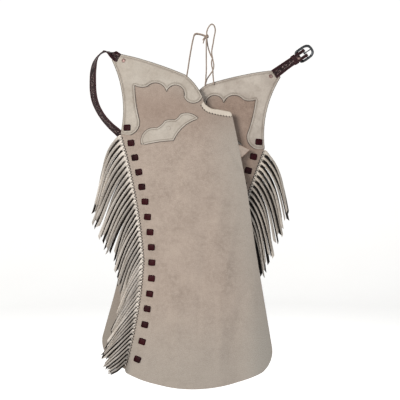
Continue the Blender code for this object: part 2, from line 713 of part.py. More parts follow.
def build_leg(tag, leg, looks):
    """Every sewn piece of one leg."""
    hole = inside(CENTRES, HOLE_OUTLINE)
    panel = inside(CENTRES, PANEL_OUTLINE) & ~hole
    yoke = inside(CENTRES, YOKE_OUTLINE) & ~hole
    over = SUEDE / 2.0 + SEAM_GAP
    slab(f"{tag}_panel", leg, panel, -SUEDE / 2.0, SUEDE / 2.0, looks["suede"])
    slab(f"{tag}_yoke", leg, yoke, over, over + YOKE_LEATHER, looks["cream"])
    trim, facing = inside(CENTRES, TRIM_OUTLINE), inside(CENTRES, FACING_OUTLINE)
    slab(f"{tag}_crotch_trim", leg, trim, over, over + TRIM_LEATHER, looks["trim"])
    slab(f"{tag}_pocket_facing", leg, facing, over, over + FACING_LEATHER, looks["cream"])
    slab(f"{tag}_thigh_tab", leg, inside(CENTRES, TAB_OUTLINE), -over - TAB_SUEDE, -over, looks["suede"])
    for k, outline in enumerate(BLOCK_OUTLINES):
        low = over + (YOKE_LEATHER + SEAM_GAP if k == 0 else 0.0)
        puffed_block(f"{tag}_block_{k + 1:02d}", leg, outline, low, looks["burgundy"])
    fringe(f"{tag}_fringe", leg, looks["fringe"])


def build_belt_strap(leg, looks):
    """The long strap: flat on the yoke's corner, over its arch on edge, and down behind the leg."""
    out = SUEDE / 2.0 + SEAM_GAP + YOKE_LEATHER + SEAM_GAP + STRAP_LEATHER / 2.0
    rows, normal = [], None
    for x, z in BELT_STRAP_START:
        place, normal = on_yoke(leg, x, z, out)
        rows.append((*place, 0.0, 1.0))
    rows += [(x, y, z, turn, 0.0) for x, y, z, turn in BELT_STRAP]
    path = spline(rows, 46)
    middles, turn, lying = path[:, :3], np.radians(path[:, 3]), np.clip(path[:, 4], 0.0, 1.0)
    along = np.gradient(middles, axis=0)
    along /= np.linalg.norm(along, axis=1, keepdims=True)
    faced = np.outer(lying, normal) + np.outer(1.0 - lying, (0.0, -1.0, 0.0))
    outer = np.column_stack([along[:, 2], np.zeros(len(along)), -along[:, 0]])
    outer /= np.linalg.norm(outer, axis=1, keepdims=True)
    face = np.cos(turn)[:, None] * faced + np.sin(turn)[:, None] * outer
    face -= (face * along).sum(axis=1, keepdims=True) * along
    face /= np.linalg.norm(face, axis=1, keepdims=True)
    wide = np.cross(along, face)
    ribbon("belt_strap", middles, wide * STRAP_WIDTH / 2.0, face * STRAP_LEATHER / 2.0, looks["burgundy"])


def build_buckle(leg, looks):
    """The buckle strap with its fold, the keeper, the frame, the prong and the rivet."""
    out = SUEDE / 2.0 + SEAM_GAP + YOKE_LEATHER + SEAM_GAP + STRAP_LEATHER / 2.0
    start, normal = on_yoke(leg, BUCKLE_STRAP_X, BUCKLE_STRAP_Z, out)
    rise = math.radians(BUCKLE_STRAP_RISE_DEG)
    along = np.array((math.cos(rise), 0.0, math.sin(rise)))
    along[1] = -(normal[0] * along[0] + normal[2] * along[2]) / normal[1]
    along /= np.linalg.norm(along)
    back = -normal
    wide = np.cross(along, normal)
    if wide[2] > 0:
        wide = -wide

    def local(u, v, w):
        return start + u * along + v * wide + w * back

    behind = STRAP_LEATHER + RETURN_GAP
    line = [(u, 0.0) for u in (0, 22, 33, 44, 60, 78, 92, 104, 112)]
    line += [(BAR_AT + FOLD_R * math.sin(a), FOLD_R * (1 - math.cos(a))) for a in np.linspace(0, math.pi, 9)]
    line += [(BAR_AT - 6.0, 7.2), (BAR_AT - 11.0, 5.2), (BAR_AT - 15.0, 4.1), (SLOT_FROM, behind + 0.05)]
    line += [(u, behind) for u in (93.0, 82.0, 70.0)]
    line = np.array(line)
    taper = np.interp(line[:, 0], *np.array(STRAP_TAPER, float).T)
    middles = np.array([local(u, -t / 2.0, w) for (u, w), t in zip(line, taper)])
    run = np.gradient(middles, axis=0)
    run /= np.linalg.norm(run, axis=1, keepdims=True)
    thick = np.cross(run, wide)
    thick /= np.linalg.norm(thick, axis=1, keepdims=True)
    wides = np.outer((STRAP_WIDTH - taper) / 2.0, wide)
    strap = ribbon("buckle_strap", middles, wides, thick * STRAP_LEATHER / 2.0, looks["burgundy"])
    start = start - wide * taper[-1] / 2.0
    half = SLOT_W / 2.0
    ends = (SLOT_FROM, BAR_AT + 12.0)
    corners = [local(u, v, w) for u in ends for v in (-half, half) for w in (-4.0, 13.0)]
    box = [(0, 1, 3, 2), (4, 6, 7, 5), (0, 4, 5, 1), (2, 3, 7, 6), (0, 2, 6, 4), (1, 5, 7, 3)]
    cutter = outward(solid("slot_cutter", np.array(corners), box, looks["burgundy"]))
    slot = strap.modifiers.new("Slot", "BOOLEAN")
    slot.operation = "DIFFERENCE"
    slot.solver = "EXACT"
    slot.object = cutter
    apply_all(strap)
    bpy.data.objects.remove(cutter, do_unlink=True)

    half_t = STRAP_LEATHER / 2.0
    in_v, low_w, high_w = (STRAP_WIDTH - taper[-1]) / 2.0 + 0.35, -half_t - 0.3, behind + half_t + 0.3
    inner = [(-in_v, low_w), (in_v, low_w), (in_v, high_w), (-in_v, high_w)]
    c = KEEPER_WALL
    outer = [(-in_v - c, low_w - c), (in_v + c, low_w - c), (in_v + c, high_w + c), (-in_v - c, high_w + c)]
    points, faces = [], []
    for u in (KEEPER_AT - KEEPER_W / 2.0, KEEPER_AT + KEEPER_W / 2.0):
        points += [local(u, v, w) for v, w in inner + outer]
    for k in range(4):
        j = (k + 1) % 4
        faces += [(k, j, 8 + j, 8 + k), (4 + k, 4 + j, 12 + j, 12 + k)]
        faces += [(k, j, 4 + j, 4 + k), (8 + k, 8 + j, 12 + j, 12 + k)]
    outward(solid("keeper", np.array(points), faces, looks["burgundy"]))

    tilt = math.radians(FRAME_TILT_DEG)
    bar = local(BAR_AT, 0.0, FOLD_R)
    reach = along * math.cos(tilt) + normal * math.sin(tilt)
    face = normal * math.cos(tilt) - along * math.sin(tilt)
    points, faces = [], []
    around, section = 32, 6
    for k in range(around):
        angle = 2 * math.pi * k / around
        cos, sin = math.cos(angle), math.sin(angle)
        power = FRAME_FAR_POWER if cos > 0 else FRAME_NEAR_POWER
        radius = (abs(cos) ** power + abs(sin) ** power) ** (-1 / power)
        for c in range(section):
            turn = 2 * math.pi * (c + 0.5) / section
            inset = FRAME_RING_W / 2.0 * (1.0 - math.cos(turn) / math.cos(math.pi / 6))
            p = (FRAME_L / 2.0 - inset) * radius * cos
            v = (FRAME_W / 2.0 - inset) * radius * sin
            points.append(bar + reach * p + wide * v + face * FRAME_T / 2.0 * math.sin(turn))
    for k in range(around):
        for c in range(section):
            m, d = (k + 1) % around, (c + 1) % section
            faces.append((k * section + c, k * section + d, m * section + d, m * section + c))
    frame = outward(solid("buckle_frame", np.array(points), faces, looks["chrome"]))
    reach_v = FRAME_W / 2.0 - FRAME_RING_W / 2.0
    centre_bar = rod("centre_bar", bar - wide * reach_v, bar + wide * reach_v, BAR_R, 12, looks["chrome"])
    united(frame, [centre_bar])

    points, faces = [], []
    n = 16
    for v in (-PRONG_W / 2.0, PRONG_W / 2.0):
        for radius in (BAR_R + 0.35, BAR_R + 2.1):
            for k in range(n):
                angle = 2 * math.pi * k / n
                points.append(bar + wide * v + radius * (math.cos(angle) * reach + math.sin(angle) * face))
    for k in range(n):
        j = (k + 1) % n
        faces += [(k, j, n + j, n + k), (2 * n + k, 2 * n + j, 3 * n + j, 3 * n + k)]
        faces += [(k, j, 2 * n + j, 2 * n + k), (n + k, n + j, 3 * n + j, 3 * n + k)]
    prong = outward(solid("prong", np.array(points), faces, looks["chrome"]))
    stations = (
        (0.6, 3.25, 1.0), (8.0, 3.5, 1.0), (17.0, 3.9, 0.95), (25.0, 4.05, 0.85), (PRONG_L, 3.8, 0.6)
    )
    middles = np.array([bar + reach * p + face * q for p, q, _ in stations])
    wides = np.array([wide * PRONG_W / 2.0 * share for _, _, share in stations])
    thicks = np.array([face * PRONG_T / 2.0 * min(1.0, 0.4 + 0.6 * share) for _, _, share in stations])
    pin = ribbon("pin", middles, wides * 0.98, thicks * 0.78, looks["chrome"])
    united(prong, [pin])

    base = local(93.0, 3.4, -half_t - SEAM_GAP)
    rivet("buckle_rivet", base, normal, along, wide, 4.2, looks["copper"])


def build_yoke_rivet(name, leg, at, looks):
    """The copper rivet beside the strap's end."""
    out = SUEDE / 2.0 + SEAM_GAP + YOKE_LEATHER + SEAM_GAP
    across, down = np.array(at[0]), np.array(at[1])
    normal = leg.normal(across, down)
    first = np.cross(normal, (0.0, 0.0, 1.0))
    first /= np.linalg.norm(first)
    base, second = leg.point(across, down, out), np.cross(normal, first)
    rivet(name, base, normal, first, second, RIVET_R, looks["copper"])


def build_knot(looks):
    """The knot: three turns of lace drawn together, with two short ends."""
    lumps = []
    for k, (middle, half, turn) in enumerate(KNOT_WRAPS):
        shape = bmesh.new()
        bmesh.ops.create_icosphere(shape, subdivisions=2, radius=1.0)
        cos, sin = math.cos(math.radians(turn)), math.sin(math.radians(turn))
        for vert in shape.verts:
            x, y, z = (vert.co[i] * half[i] for i in range(3))
            turned = Vector((x * cos - z * sin, y, x * sin + z * cos))
            vert.co = (Vector(middle) + turned) * MM
        mesh = bpy.data.meshes.new(f"knot_{k}")
        shape.to_mesh(mesh)
        shape.free()
        mesh.materials.append(looks["lace"])
        lump = bpy.data.objects.new("lace_knot" if k == 0 else f"knot_{k}", mesh)
        bpy.context.scene.collection.objects.link(lump)
        lumps.append(outward(lump))
    for k, (start, end) in enumerate(KNOT_ENDS):
        lumps.append(rod(f"knot_end_{k}", start, end, LACE_D / 2.0 - 0.2, 8, looks["lace"]))
    united(lumps[0], lumps[1:])


def main():
    for old in list(bpy.data.objects):
        bpy.data.objects.remove(old, do_unlink=True)
    looks = {
        "suede": material_of("tan suede", (0.42, 0.33, 0.27), 0.92),
        "cream": material_of("cream smooth leather", (0.53, 0.50, 0.44), 0.62),
        "trim": material_of("pale trim leather", (0.60, 0.53, 0.46), 0.7),
        "fringe": material_of("fringe leather", (0.47, 0.42, 0.36), 0.85),
        "burgundy": material_of("burgundy leather", (0.055, 0.012, 0.018), 0.45),
        "lace": material_of("lace leather", (0.30, 0.24, 0.20), 0.75),
        "chrome": material_of("dark chrome", (0.30, 0.31, 0.32), 0.22, 1.0),
        "copper": material_of("copper", (0.72, 0.36, 0.27), 0.35, 1.0),
    }
    near = Leg(1.0, NEAR_HOLE_X, NEAR_HOLE_Z, NEAR_BASE_Y, 0.0, 0.0, 0.0, -1.0)
    far = Leg(-1.0, FAR_HOLE_X, FAR_HOLE_Z, FAR_BASE_Y, FAR_TURN_DEG, FAR_TUCK, FAR_LIFT, 1.0)
    build_leg("near", near, looks)
    build_leg("far", far, looks)
    build_belt_strap(near, looks)
    build_buckle(far, looks)
    build_yoke_rivet("near_rivet", near, NEAR_RIVET, looks)
    build_yoke_rivet("far_rivet", far, FAR_RIVET, looks)
    lace("lace_near", LACE_NEAR, looks["lace"])
    lace("lace_far", LACE_FAR, looks["lace"])
    lace("lace_loop", LACE_LOOP, looks["lace"])
    build_knot(looks)


main()
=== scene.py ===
# %% [markdown]
# # Leather chaps hung by their tie laces
# Chaps are two leather legs that are worn over trousers. These hang from the laces that tie them in front,
# with the near leg in front of the far one. The solids of the frame already hold every piece's size and
# place. Here each piece is dressed: it gets its thickness, edges, stitches, folds and leather. All sizes
# below are in millimetres and are turned into metres when a mesh is made.

import math

import bpy
import numpy as np
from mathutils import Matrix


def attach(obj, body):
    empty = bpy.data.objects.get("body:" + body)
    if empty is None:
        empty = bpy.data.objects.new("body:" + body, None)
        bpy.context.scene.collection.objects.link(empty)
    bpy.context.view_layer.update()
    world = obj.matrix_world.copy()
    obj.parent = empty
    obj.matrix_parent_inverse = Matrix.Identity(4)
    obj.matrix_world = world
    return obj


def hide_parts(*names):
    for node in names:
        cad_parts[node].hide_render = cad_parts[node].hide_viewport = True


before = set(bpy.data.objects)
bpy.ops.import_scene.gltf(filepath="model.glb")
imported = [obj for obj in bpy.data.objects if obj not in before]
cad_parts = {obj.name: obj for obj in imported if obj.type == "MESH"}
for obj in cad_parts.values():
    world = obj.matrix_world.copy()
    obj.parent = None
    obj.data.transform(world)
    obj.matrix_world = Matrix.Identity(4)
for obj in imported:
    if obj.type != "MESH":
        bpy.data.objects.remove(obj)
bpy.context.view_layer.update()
MM = 0.001

# %% [markdown]
# ## Camera
# The picture is a plain product view, square on and level, from a few steps away. A long lens from far
# off flattens an object and a short one swells it. An 85 mm lens on a 36 mm sensor at 2.8 m gives the
# view of someone across a room: at the laces' depth one pixel of a 400 pixel frame is 3 mm.

# %% Camera
bpy.context.scene.view_settings.view_transform = "Standard"
CAMERA_PLACE = (-0.036, -2.833, -0.5256)
lens = bpy.data.cameras.new("camera")
lens.lens, lens.sensor_width = 85.0, 36.0
camera = bpy.data.objects.new("camera", lens)
camera.location = CAMERA_PLACE
camera.rotation_euler = (math.radians(90.0), 0.0, 0.0)
bpy.context.scene.collection.objects.link(camera)
bpy.context.scene.camera = camera
print("one pixel is", round(-CAMERA_PLACE[1] * 36.0 / 85.0 / 400.0 * 1000.0, 2), "mm at the laces")

# %% [markdown]
# ## Meshes and materials, the common tools
# Nearly every piece here is a sheet: a point moves over a flat pattern with two parameters, and the
# pattern is bent into space. So one function turns a grid of points into faces, and one puts points and
# faces into a mesh. Whole arrays are worked out at once, which is quick and leaves no loops to follow.

# %% Mesh tools
def smoothstep(t):
    """Three t squared less two t cubed, held between 0 and 1."""
    t = np.clip(t, 0.0, 1.0)
    return t * t * (3.0 - 2.0 * t)


def grid_faces(rows, cols, round_rows=False, round_cols=False):
    """Quads between neighbouring grid points; a round direction joins its last line to its first."""
    index = np.arange(rows * cols).reshape(rows, cols)
    if round_rows:
        index = np.concatenate([index, index[:1]], axis=0)
    if round_cols:
        index = np.concatenate([index, index[:, :1]], axis=1)
    quads = np.stack([index[:-1, :-1], index[:-1, 1:], index[1:, 1:], index[1:, :-1]], axis=-1)
    return quads.reshape(-1, 4)


def slab_faces(rows, cols):
    """A closed sheet: the front grid, the back grid turned round, and the rim that joins their borders."""
    front = grid_faces(rows, cols)
    index = np.arange(rows * cols).reshape(rows, cols)
    border = np.concatenate([index[0, :-1], index[:-1, -1], index[-1, :0:-1], index[:0:-1, 0]])
    ahead, count = np.roll(border, -1), rows * cols
    rim = np.stack([ahead, border, border + count, ahead + count], axis=-1)
    return np.concatenate([front, front[:, ::-1] + count, rim])


def signed_volume(points, faces):
    """Six times this is the sum of a . (b x c) over the triangles; it is below nought inside out."""
    corners = (points - points.mean(axis=0))[faces]
    a, b, c, d = (corners[:, k] for k in range(4))
    return ((a * np.cross(b, c)).sum() + (a * np.cross(c, d)).sum()) / 6.0


def put_mesh(name, points, faces, look, body="chaps", uv=None, marks=(), sharp_deg=50.0):
    """One closed piece from points in millimetres and quads, turned outwards, with its own UV and marks."""
    points = np.asarray(points, float).reshape(-1, 3)
    if signed_volume(points, faces) < 0.0:
        faces = faces[:, ::-1]
    mesh = bpy.data.meshes.new(name)
    mesh.from_pydata((points * MM).tolist(), [], faces.tolist())
    if uv is not None:
        layer = mesh.uv_layers.new(name="pattern")
        layer.uv.foreach_set("vector", np.asarray(uv, np.float32).reshape(-1, 2)[faces.ravel()].ravel())
    for mark, values in marks:
        held = mesh.attributes.new(mark, "FLOAT", "POINT")
        held.data.foreach_set("value", np.asarray(values, np.float32).ravel())
    mesh.polygons.foreach_set("use_smooth", np.ones(len(faces), bool))
    mesh.set_sharp_from_angle(angle=math.radians(sharp_deg))
    mesh.materials.append(look)
    mesh.update()
    piece = bpy.data.objects.new(name, mesh)
    bpy.context.scene.collection.objects.link(piece)
    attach(piece, body)
    return piece


def many(template, faces, count):
    """The faces of one small shape repeated for each of its copies."""
    return (faces[None] + len(template) * np.arange(count)[:, None, None]).reshape(-1, faces.shape[1])


# %% Curve tools
def spline(rows, count):
    """Points evenly along the Catmull-Rom curve through the rows, in every column."""
    rows = np.asarray(rows, float)
    ends = np.concatenate([[2 * rows[0] - rows[1]], rows, [2 * rows[-1] - rows[-2]]])
    t = np.linspace(0.0, 1.0, 17)[:-1, None]
    p0, p1, p2, p3 = (ends[k:len(ends) - 3 + k, None] for k in range(4))
    dense = 0.5 * (2 * p1 + (p2 - p0) * t + (2 * p0 - 5 * p1 + 4 * p2 - p3) * t ** 2
                   + (3 * p1 - p0 - 3 * p2 + p3) * t ** 3)
    dense = np.concatenate([dense.reshape(-1, rows.shape[1]), rows[-1:]])
    return evenly(dense, count)


def evenly(line, count):
    """The line's points again, evenly spaced by the length of its first three columns or fewer."""
    run = np.concatenate([[0.0], np.cumsum(np.linalg.norm(np.diff(line[:, :3], axis=0), axis=1))])
    where = np.linspace(0.0, run[-1], count)
    return np.column_stack([np.interp(where, run, line[:, k]) for k in range(line.shape[1])])


def unit(vectors):
    """Each vector over its length."""
    return vectors / np.linalg.norm(vectors, axis=-1, keepdims=True)


def tube(path, radius, sides, flat=1.0, twist=0.0):
    """Points of a round or flattened cord: a ring round each point of the path, square to the path.

    The first direction of a ring is the path's direction crossed with a fixed one, turned by the twist.
    Both ends are drawn in over three short rings to a rounded tip.
    """
    path = np.asarray(path, float)
    radius = np.broadcast_to(np.asarray(radius, float), (len(path),))
    along = unit(np.gradient(path, axis=0))
    first = unit(np.cross(along, (0.13, 0.97, 0.21)))
    second = np.cross(along, first)
    lead = np.array([1.0, 0.94, 0.72, 0.02])[::-1]
    reach = np.array([0.0, 0.34, 0.72, 1.0])[::-1]
    path = np.concatenate([path[:1] - along[:1] * (reach * radius[0])[:, None], path[1:-1],
                           path[-1:] + along[-1:] * (reach[::-1] * radius[-1])[:, None]])
    radius = np.concatenate([lead * radius[0], radius[1:-1], lead[::-1] * radius[-1]])
    first = np.concatenate([first[:1]] * 4 + [first[1:-1]] + [first[-1:]] * 4)
    second = np.concatenate([second[:1]] * 4 + [second[1:-1]] + [second[-1:]] * 4)
    angle = 2.0 * math.pi * np.arange(sides)[None] / sides + twist * np.linspace(0.0, 1.0, len(path))[:, None]
    rings = np.cos(angle)[..., None] * first[:, None] + flat * np.sin(angle)[..., None] * second[:, None]
    return path[:, None] + rings * radius[:, None, None]


def tube_faces(rings, sides):
    """Quads round and along the tube, and a quad fan over each drawn-in end."""
    walls = grid_faces(rings, sides, round_cols=True)
    cap = np.array([(0, k + 2, k + 1, k) for k in range(1, sides - 2, 2)])
    last = (rings - 1) * sides
    return np.concatenate([walls, cap, cap[:, ::-1] + last])


def cord_mesh(name, rows, diameter, look, spacing=2.0, sides=12, wobble=0.05):
    """A leather lace: a tube on the smooth curve through the rows, a little uneven along its length."""
    rough = spline(rows, 400)
    length = np.linalg.norm(np.diff(rough, axis=0), axis=1).sum()
    path = spline(rows, int(length / spacing))
    run = np.linspace(0.0, length, len(path))
    radius = diameter / 2.0 * (1.0 + wobble * np.sin(run / 5.3) * np.sin(run / 17.0 + 1.0))
    points = tube(path, radius, sides)
    around = np.broadcast_to(np.linspace(0.0, 1.0, sides)[None], points.shape[:2])
    reach = np.broadcast_to(np.linspace(0.0, length, len(points))[:, None] * MM, points.shape[:2])
    uv = np.stack([reach, around * math.pi * diameter * MM], axis=-1)
    return put_mesh(name, points, tube_faces(len(points), sides), look, uv=uv), path * MM, length * MM

# %% [markdown]
# ## The shape of a leg
# A leather maker draws each piece flat, and so does this script. A pattern point has two numbers: how far
# across from the lace hole towards the crotch, and how far down. The leg then bends that flat pattern:
# it wraps round the hip and the inner thigh, swells in the middle and falls in flutes to the hem. Every
# sewn piece asks the leg for its points, so they all lie on each other at every fold. The far leg is the
# near one's mirror image, turned a few degrees and hung further back, with creases of its own.

# %% Outlines of the pieces, flat
# across, down, bulge of the edge to the next row (outwards)
YOKE_TOP_EDGE = [
    (-198.0, 168.0, -19.0),
    (-224.0, -51.0, 3.0),
    (-207.0, -69.0, 1.0),
    (-189.0, -67.5, 4.0),
    (-4.5, -6.9, 5.0),
]
YOKE_SCALLOPS = [
    (45.3, 55.5, 1.5),
    (45.3, 62.1, 18.0),
    (-9.0, 59.4, -26.0),
    (-58.5, 42.0, 1.0),
    (-61.5, 43.5, -17.0),
    (-117.0, 28.5, 4.0),
    (-154.5, 26.1, -3.0),
    (-140.1, 129.0, 10.0),
    (-168.0, 172.5, 2.0),
]
CROTCH_EDGE = [
    (45.3, 55.5, 0.0),
    (49.5, 72.0, -7.0),
    (90.9, 95.7, 0.0),
    (125.7, 102.0, 3.0),
]
INNER_EDGE_AND_HEM = [
    (134.4, 115.5, 1.0),
    (180.6, 339.0, -1.0),
    (216.6, 576.0, 0.0),
    (257.0, 815.0, 10.0),
    (225.0, 883.5, 43.0),
    (-182.0, 885.0, 3.0),
]
OUTER_SEAM = [
    (-184.0, 867.0, -9.0),
    (-129.0, 546.0, -10.0),
]
CROTCH_TRIM_LOWER = [
    (134.4, 115.5, 0.0),
    (130.5, 119.5, 1.0),
    (72.0, 109.0, 5.0),
    (40.5, 82.0, 0.0),
]
POCKET_FACING = [
    (-136.5, 201.0, 8.5),
    (-117.0, 154.5, 2.0),
    (-90.0, 150.9, -2.0),
    (-66.0, 129.9, 2.0),
    (-37.5, 126.9, -2.0),
    (-21.0, 111.0, 9.0),
    (33.9, 121.5, 1.5),
    (27.0, 128.1, -10.0),
    (-38.4, 190.5, -2.0),
    (-123.0, 201.6, 1.0),
]
THIGH_TAB = [
    (117.0, 189.0, 0.0),
    (153.0, 199.5, 0.0),
    (189.0, 214.5, 1.0),
    (188.0, 218.0, 0.0),
    (165.0, 238.5, 0.0),
    (126.0, 243.0, 0.0),
]

def edge_line(rows, spacing=1.5):
    """The open line through the rows: each row's edge is an arc whose height over its chord is the bulge."""
    pieces = []
    for (ax, ay, bulge), (bx, by, _) in zip(rows, rows[1:]):
        start, end = np.array((ax, ay)), np.array((bx, by))
        half = np.linalg.norm(end - start) / 2.0
        along = (end - start) / (2.0 * half)
        outward = np.array((along[1], -along[0]))
        share = np.linspace(0.0, 1.0, max(3, int(2.0 * half / spacing)))[:-1, None]
        if abs(bulge) < 1e-6:
            pieces.append(start + share * (end - start))
            continue
        radius = (half * half + bulge * bulge) / (2.0 * bulge)
        middle = (start + end) / 2.0 - outward * (radius - bulge)
        angle = 2.0 * math.atan(bulge / half) * (2.0 * share - 1.0)
        pieces.append(middle + radius * (np.cos(angle) * outward + np.sin(angle) * along))
    return np.concatenate(pieces + [np.array([rows[-1][:2]])])


def edge_distance(across, down, outline):
    """The shortest distance in millimetres from each pattern point to the outline's points."""
    flat = np.stack([across.ravel(), down.ravel()], axis=-1)
    apart = np.linalg.norm(flat[:, None] - outline[None], axis=2).min(axis=1)
    return apart.reshape(across.shape)


YOKE_OUTLINE = edge_line(YOKE_TOP_EDGE + YOKE_SCALLOPS + YOKE_TOP_EDGE[:1])
FACING_OUTLINE = edge_line(POCKET_FACING + POCKET_FACING[:1])
SEAM_LINE = edge_line(OUTER_SEAM + YOKE_TOP_EDGE[:1])[::-1]
SEAM_RUN = np.concatenate([[0.0], np.cumsum(np.linalg.norm(np.diff(SEAM_LINE, axis=0), axis=1))])
print("outer seam", round(SEAM_RUN[-1]), "mm, round the yoke",
      round(np.linalg.norm(np.diff(YOKE_OUTLINE, axis=0), axis=1).sum()), "mm")

# %% Bends and creases
# down, across of the outer and the inner edge, for the bends that follow them
OUTER_EDGE_AT = np.array([
    (-51, -224), (42, -195), (90, -192), (168, -198), (250, -176), (330, -159),
    (420, -141), (546, -129), (640, -136), (740, -152), (867, -184),
], float)
INNER_EDGE_AT = np.array([
    (-10, 20), (60, 60), (115, 134), (339, 181), (576, 217), (815, 257), (890, 262),
], float)
# across, down of a crease's middle, its direction from the plumb line, half length, half width and depth;
# a negative depth is a ridge
NEAR_CREASES = [
    (-92.0, 330.0, 8.0, 150.0, 26.0, 2.2),
    (-30.0, 300.0, -14.0, 120.0, 17.0, 1.5),
    (10.0, 420.0, 6.0, 190.0, 30.0, -2.0),
    (84.0, 360.0, -12.0, 170.0, 22.0, 2.0),
    (128.0, 520.0, -9.0, 200.0, 20.0, -1.8),
    (-60.0, 560.0, 12.0, 170.0, 24.0, -2.2),
    (40.0, 650.0, -6.0, 180.0, 24.0, 2.4),
    (-110.0, 720.0, 14.0, 120.0, 20.0, 1.8),
    (160.0, 700.0, -14.0, 150.0, 24.0, 2.2),
    (-30.0, 790.0, 5.0, 110.0, 18.0, -2.0),
    (100.0, 800.0, -4.0, 100.0, 17.0, -1.8),
    (60.0, 175.0, 58.0, 70.0, 10.0, 2.0),
    (96.0, 205.0, 66.0, 60.0, 8.0, -1.8),
    (-60.0, 90.0, 74.0, 60.0, 9.0, 1.4),
    (150.0, 250.0, 30.0, 60.0, 12.0, 2.2),
    (-88.0, 236.0, -40.0, 24.0, 5.0, 1.3),
    (-92.0, 262.0, 4.0, 22.0, 2.6, 0.8),
    (34.0, 150.0, -18.0, 30.0, 2.6, 0.7),
    (38.0, 192.0, 8.0, 20.0, 2.6, 0.6),
    (12.0, 206.0, 80.0, 9.0, 2.6, 0.8),
]
FAR_CREASES = [
    (-80.0, 250.0, 10.0, 110.0, 22.0, 2.0),
    (-20.0, 340.0, -10.0, 150.0, 26.0, -2.0),
    (50.0, 300.0, 12.0, 150.0, 24.0, 2.2),
    (110.0, 430.0, -12.0, 180.0, 24.0, -2.2),
    (-70.0, 480.0, 4.0, 170.0, 22.0, 2.0),
    (10.0, 600.0, -8.0, 180.0, 30.0, 2.4),
    (-96.0, 680.0, 14.0, 130.0, 20.0, -2.0),
    (90.0, 690.0, 6.0, 170.0, 22.0, -2.4),
    (170.0, 620.0, -8.0, 150.0, 22.0, 2.0),
    (-20.0, 800.0, 2.0, 90.0, 18.0, 1.8),
    (70.0, 130.0, 60.0, 50.0, 10.0, 1.0),
    (-50.0, 120.0, -66.0, 60.0, 9.0, -0.9),
    (0.0, 90.0, 70.0, 50.0, 8.0, 0.8),
]


def creases(rows, across, down):
    """A sum of long soft dents: each is a bell across its line and fades out towards both its ends."""
    row = np.array(rows).T[(...,) + (None,) * np.ndim(across)]
    turn = np.radians(row[2])
    x, y = across - row[0], down - row[1]
    sideways = x * np.cos(turn) - y * np.sin(turn)
    endways = x * np.sin(turn) + y * np.cos(turn)
    bell = np.exp(-0.5 * (sideways / (0.5 * row[4])) ** 2)
    fade = smoothstep(1.25 - np.abs(endways) / row[3])
    return (row[5] * bell * fade).sum(axis=0)


def ramp(q, width):
    """Rises as a parabola over the width and as a straight line after it, with a slope of 1."""
    q = np.maximum(q, 0.0)
    return np.where(q < width, q * q / (2.0 * width), q - width / 2.0)

def depth(across, down):
    """How far back the suede's middle lies from the leg's base plane, as a sum of soft bends."""
    corner = ramp(-0.87 * (across + 120.0) - 0.49 * (down + 50.0) - 15.0, 35.0)
    back = 0.20 * corner
    outer = np.interp(down, *OUTER_EDGE_AT.T)
    turned = ramp(outer + 78.0 - across, 78.0) / 39.0
    back = back + 19.0 * turned * smoothstep((down - 10.0) / 150.0)
    inner = np.interp(down, *INNER_EDGE_AT.T)
    rolled = ramp(across - (inner - 105.0), 105.0) / 52.5
    deeper = 5.0 + 34.0 * smoothstep((down - 130.0) / 700.0)
    back = back + deeper * rolled * smoothstep((down - 90.0) / 120.0)
    low = smoothstep((down - 120.0) / 420.0)
    belly = smoothstep(1.0 - np.abs(across - 20.0) / 190.0)
    back = back - 9.0 * belly * smoothstep((down - 60.0) / 260.0)
    flute = smoothstep(1.0 - np.abs(across + 40.0 + 0.05 * down) / 62.0)
    back = back + 5.0 * flute * low
    flute = smoothstep(1.0 - np.abs(across - 122.0 - 0.04 * down) / 58.0)
    back = back + 5.5 * flute * low
    hem = smoothstep((down - 720.0) / 170.0)
    return back - 4.0 * hem * np.cos((across + 10.0) / 58.0)

# %% The leg
class Leg:
    """Turns pattern coordinates into the hanging leg: mirrored, turned and moved back for the far one."""

    def __init__(self, tag, side, hole, base_y, turn_deg, tuck, lift, fan, crease_rows):
        self.tag, self.side, self.hole, self.base_y = tag, side, hole, base_y
        self.cos, self.sin = math.cos(math.radians(turn_deg)), math.sin(math.radians(turn_deg))
        self.tuck, self.lift, self.fan, self.crease_rows = tuck, lift, fan, crease_rows

    def middle(self, across, down, creased=True):
        """World point of the suede's middle, with the inner edge drawn in, the hem lifted and the creases."""
        drawn = self.tuck * smoothstep((down - 250.0) / 450.0) * smoothstep((across - 40.0) / 220.0)
        lifted = self.lift * smoothstep((down - 420.0) / 465.0)
        u, v = self.side * (across - drawn), down - lifted
        x = self.hole[0] + u * self.cos - v * self.sin
        z = self.hole[1] - (u * self.sin + v * self.cos)
        y = self.base_y + depth(across, down)
        if creased:
            y = y + creases(self.crease_rows, across, down) * smoothstep((down - 20.0) / 90.0)
        return np.stack([x, y, z], axis=-1)

    def normal(self, across, down, creased=True):
        """Unit normal towards the front, from differences of the middle over 1 mm."""
        du = self.middle(across + 0.5, down, creased) - self.middle(across - 0.5, down, creased)
        dv = self.middle(across, down + 0.5, creased) - self.middle(across, down - 0.5, creased)
        n = unit(np.cross(du, dv))
        return np.where(n[..., 1:2] > 0, -n, n)

    def point(self, across, down, out, creased=True):
        """The middle moved out towards the front."""
        across, down = np.asarray(across, float), np.asarray(down, float)
        out = np.broadcast_to(np.asarray(out, float), across.shape)
        return self.middle(across, down, creased) + self.normal(across, down, creased) * out[..., None]


NEAR = Leg("near", 1.0, (-75.0, -159.6), -22.0, 0.0, 0.0, 0.0, -1.0, NEAR_CREASES)
FAR = Leg("far", -1.0, (-20.4, -182.7), 18.0, 5.8, 22.0, 30.0, 1.0, FAR_CREASES)
LEGS = (NEAR, FAR)
hem = NEAR.middle(np.array([-182.0, 20.0, 225.0]), np.array([885.0, 926.0, 883.5]))
print("near hem, x y z in mm:", hem.round(0).tolist())

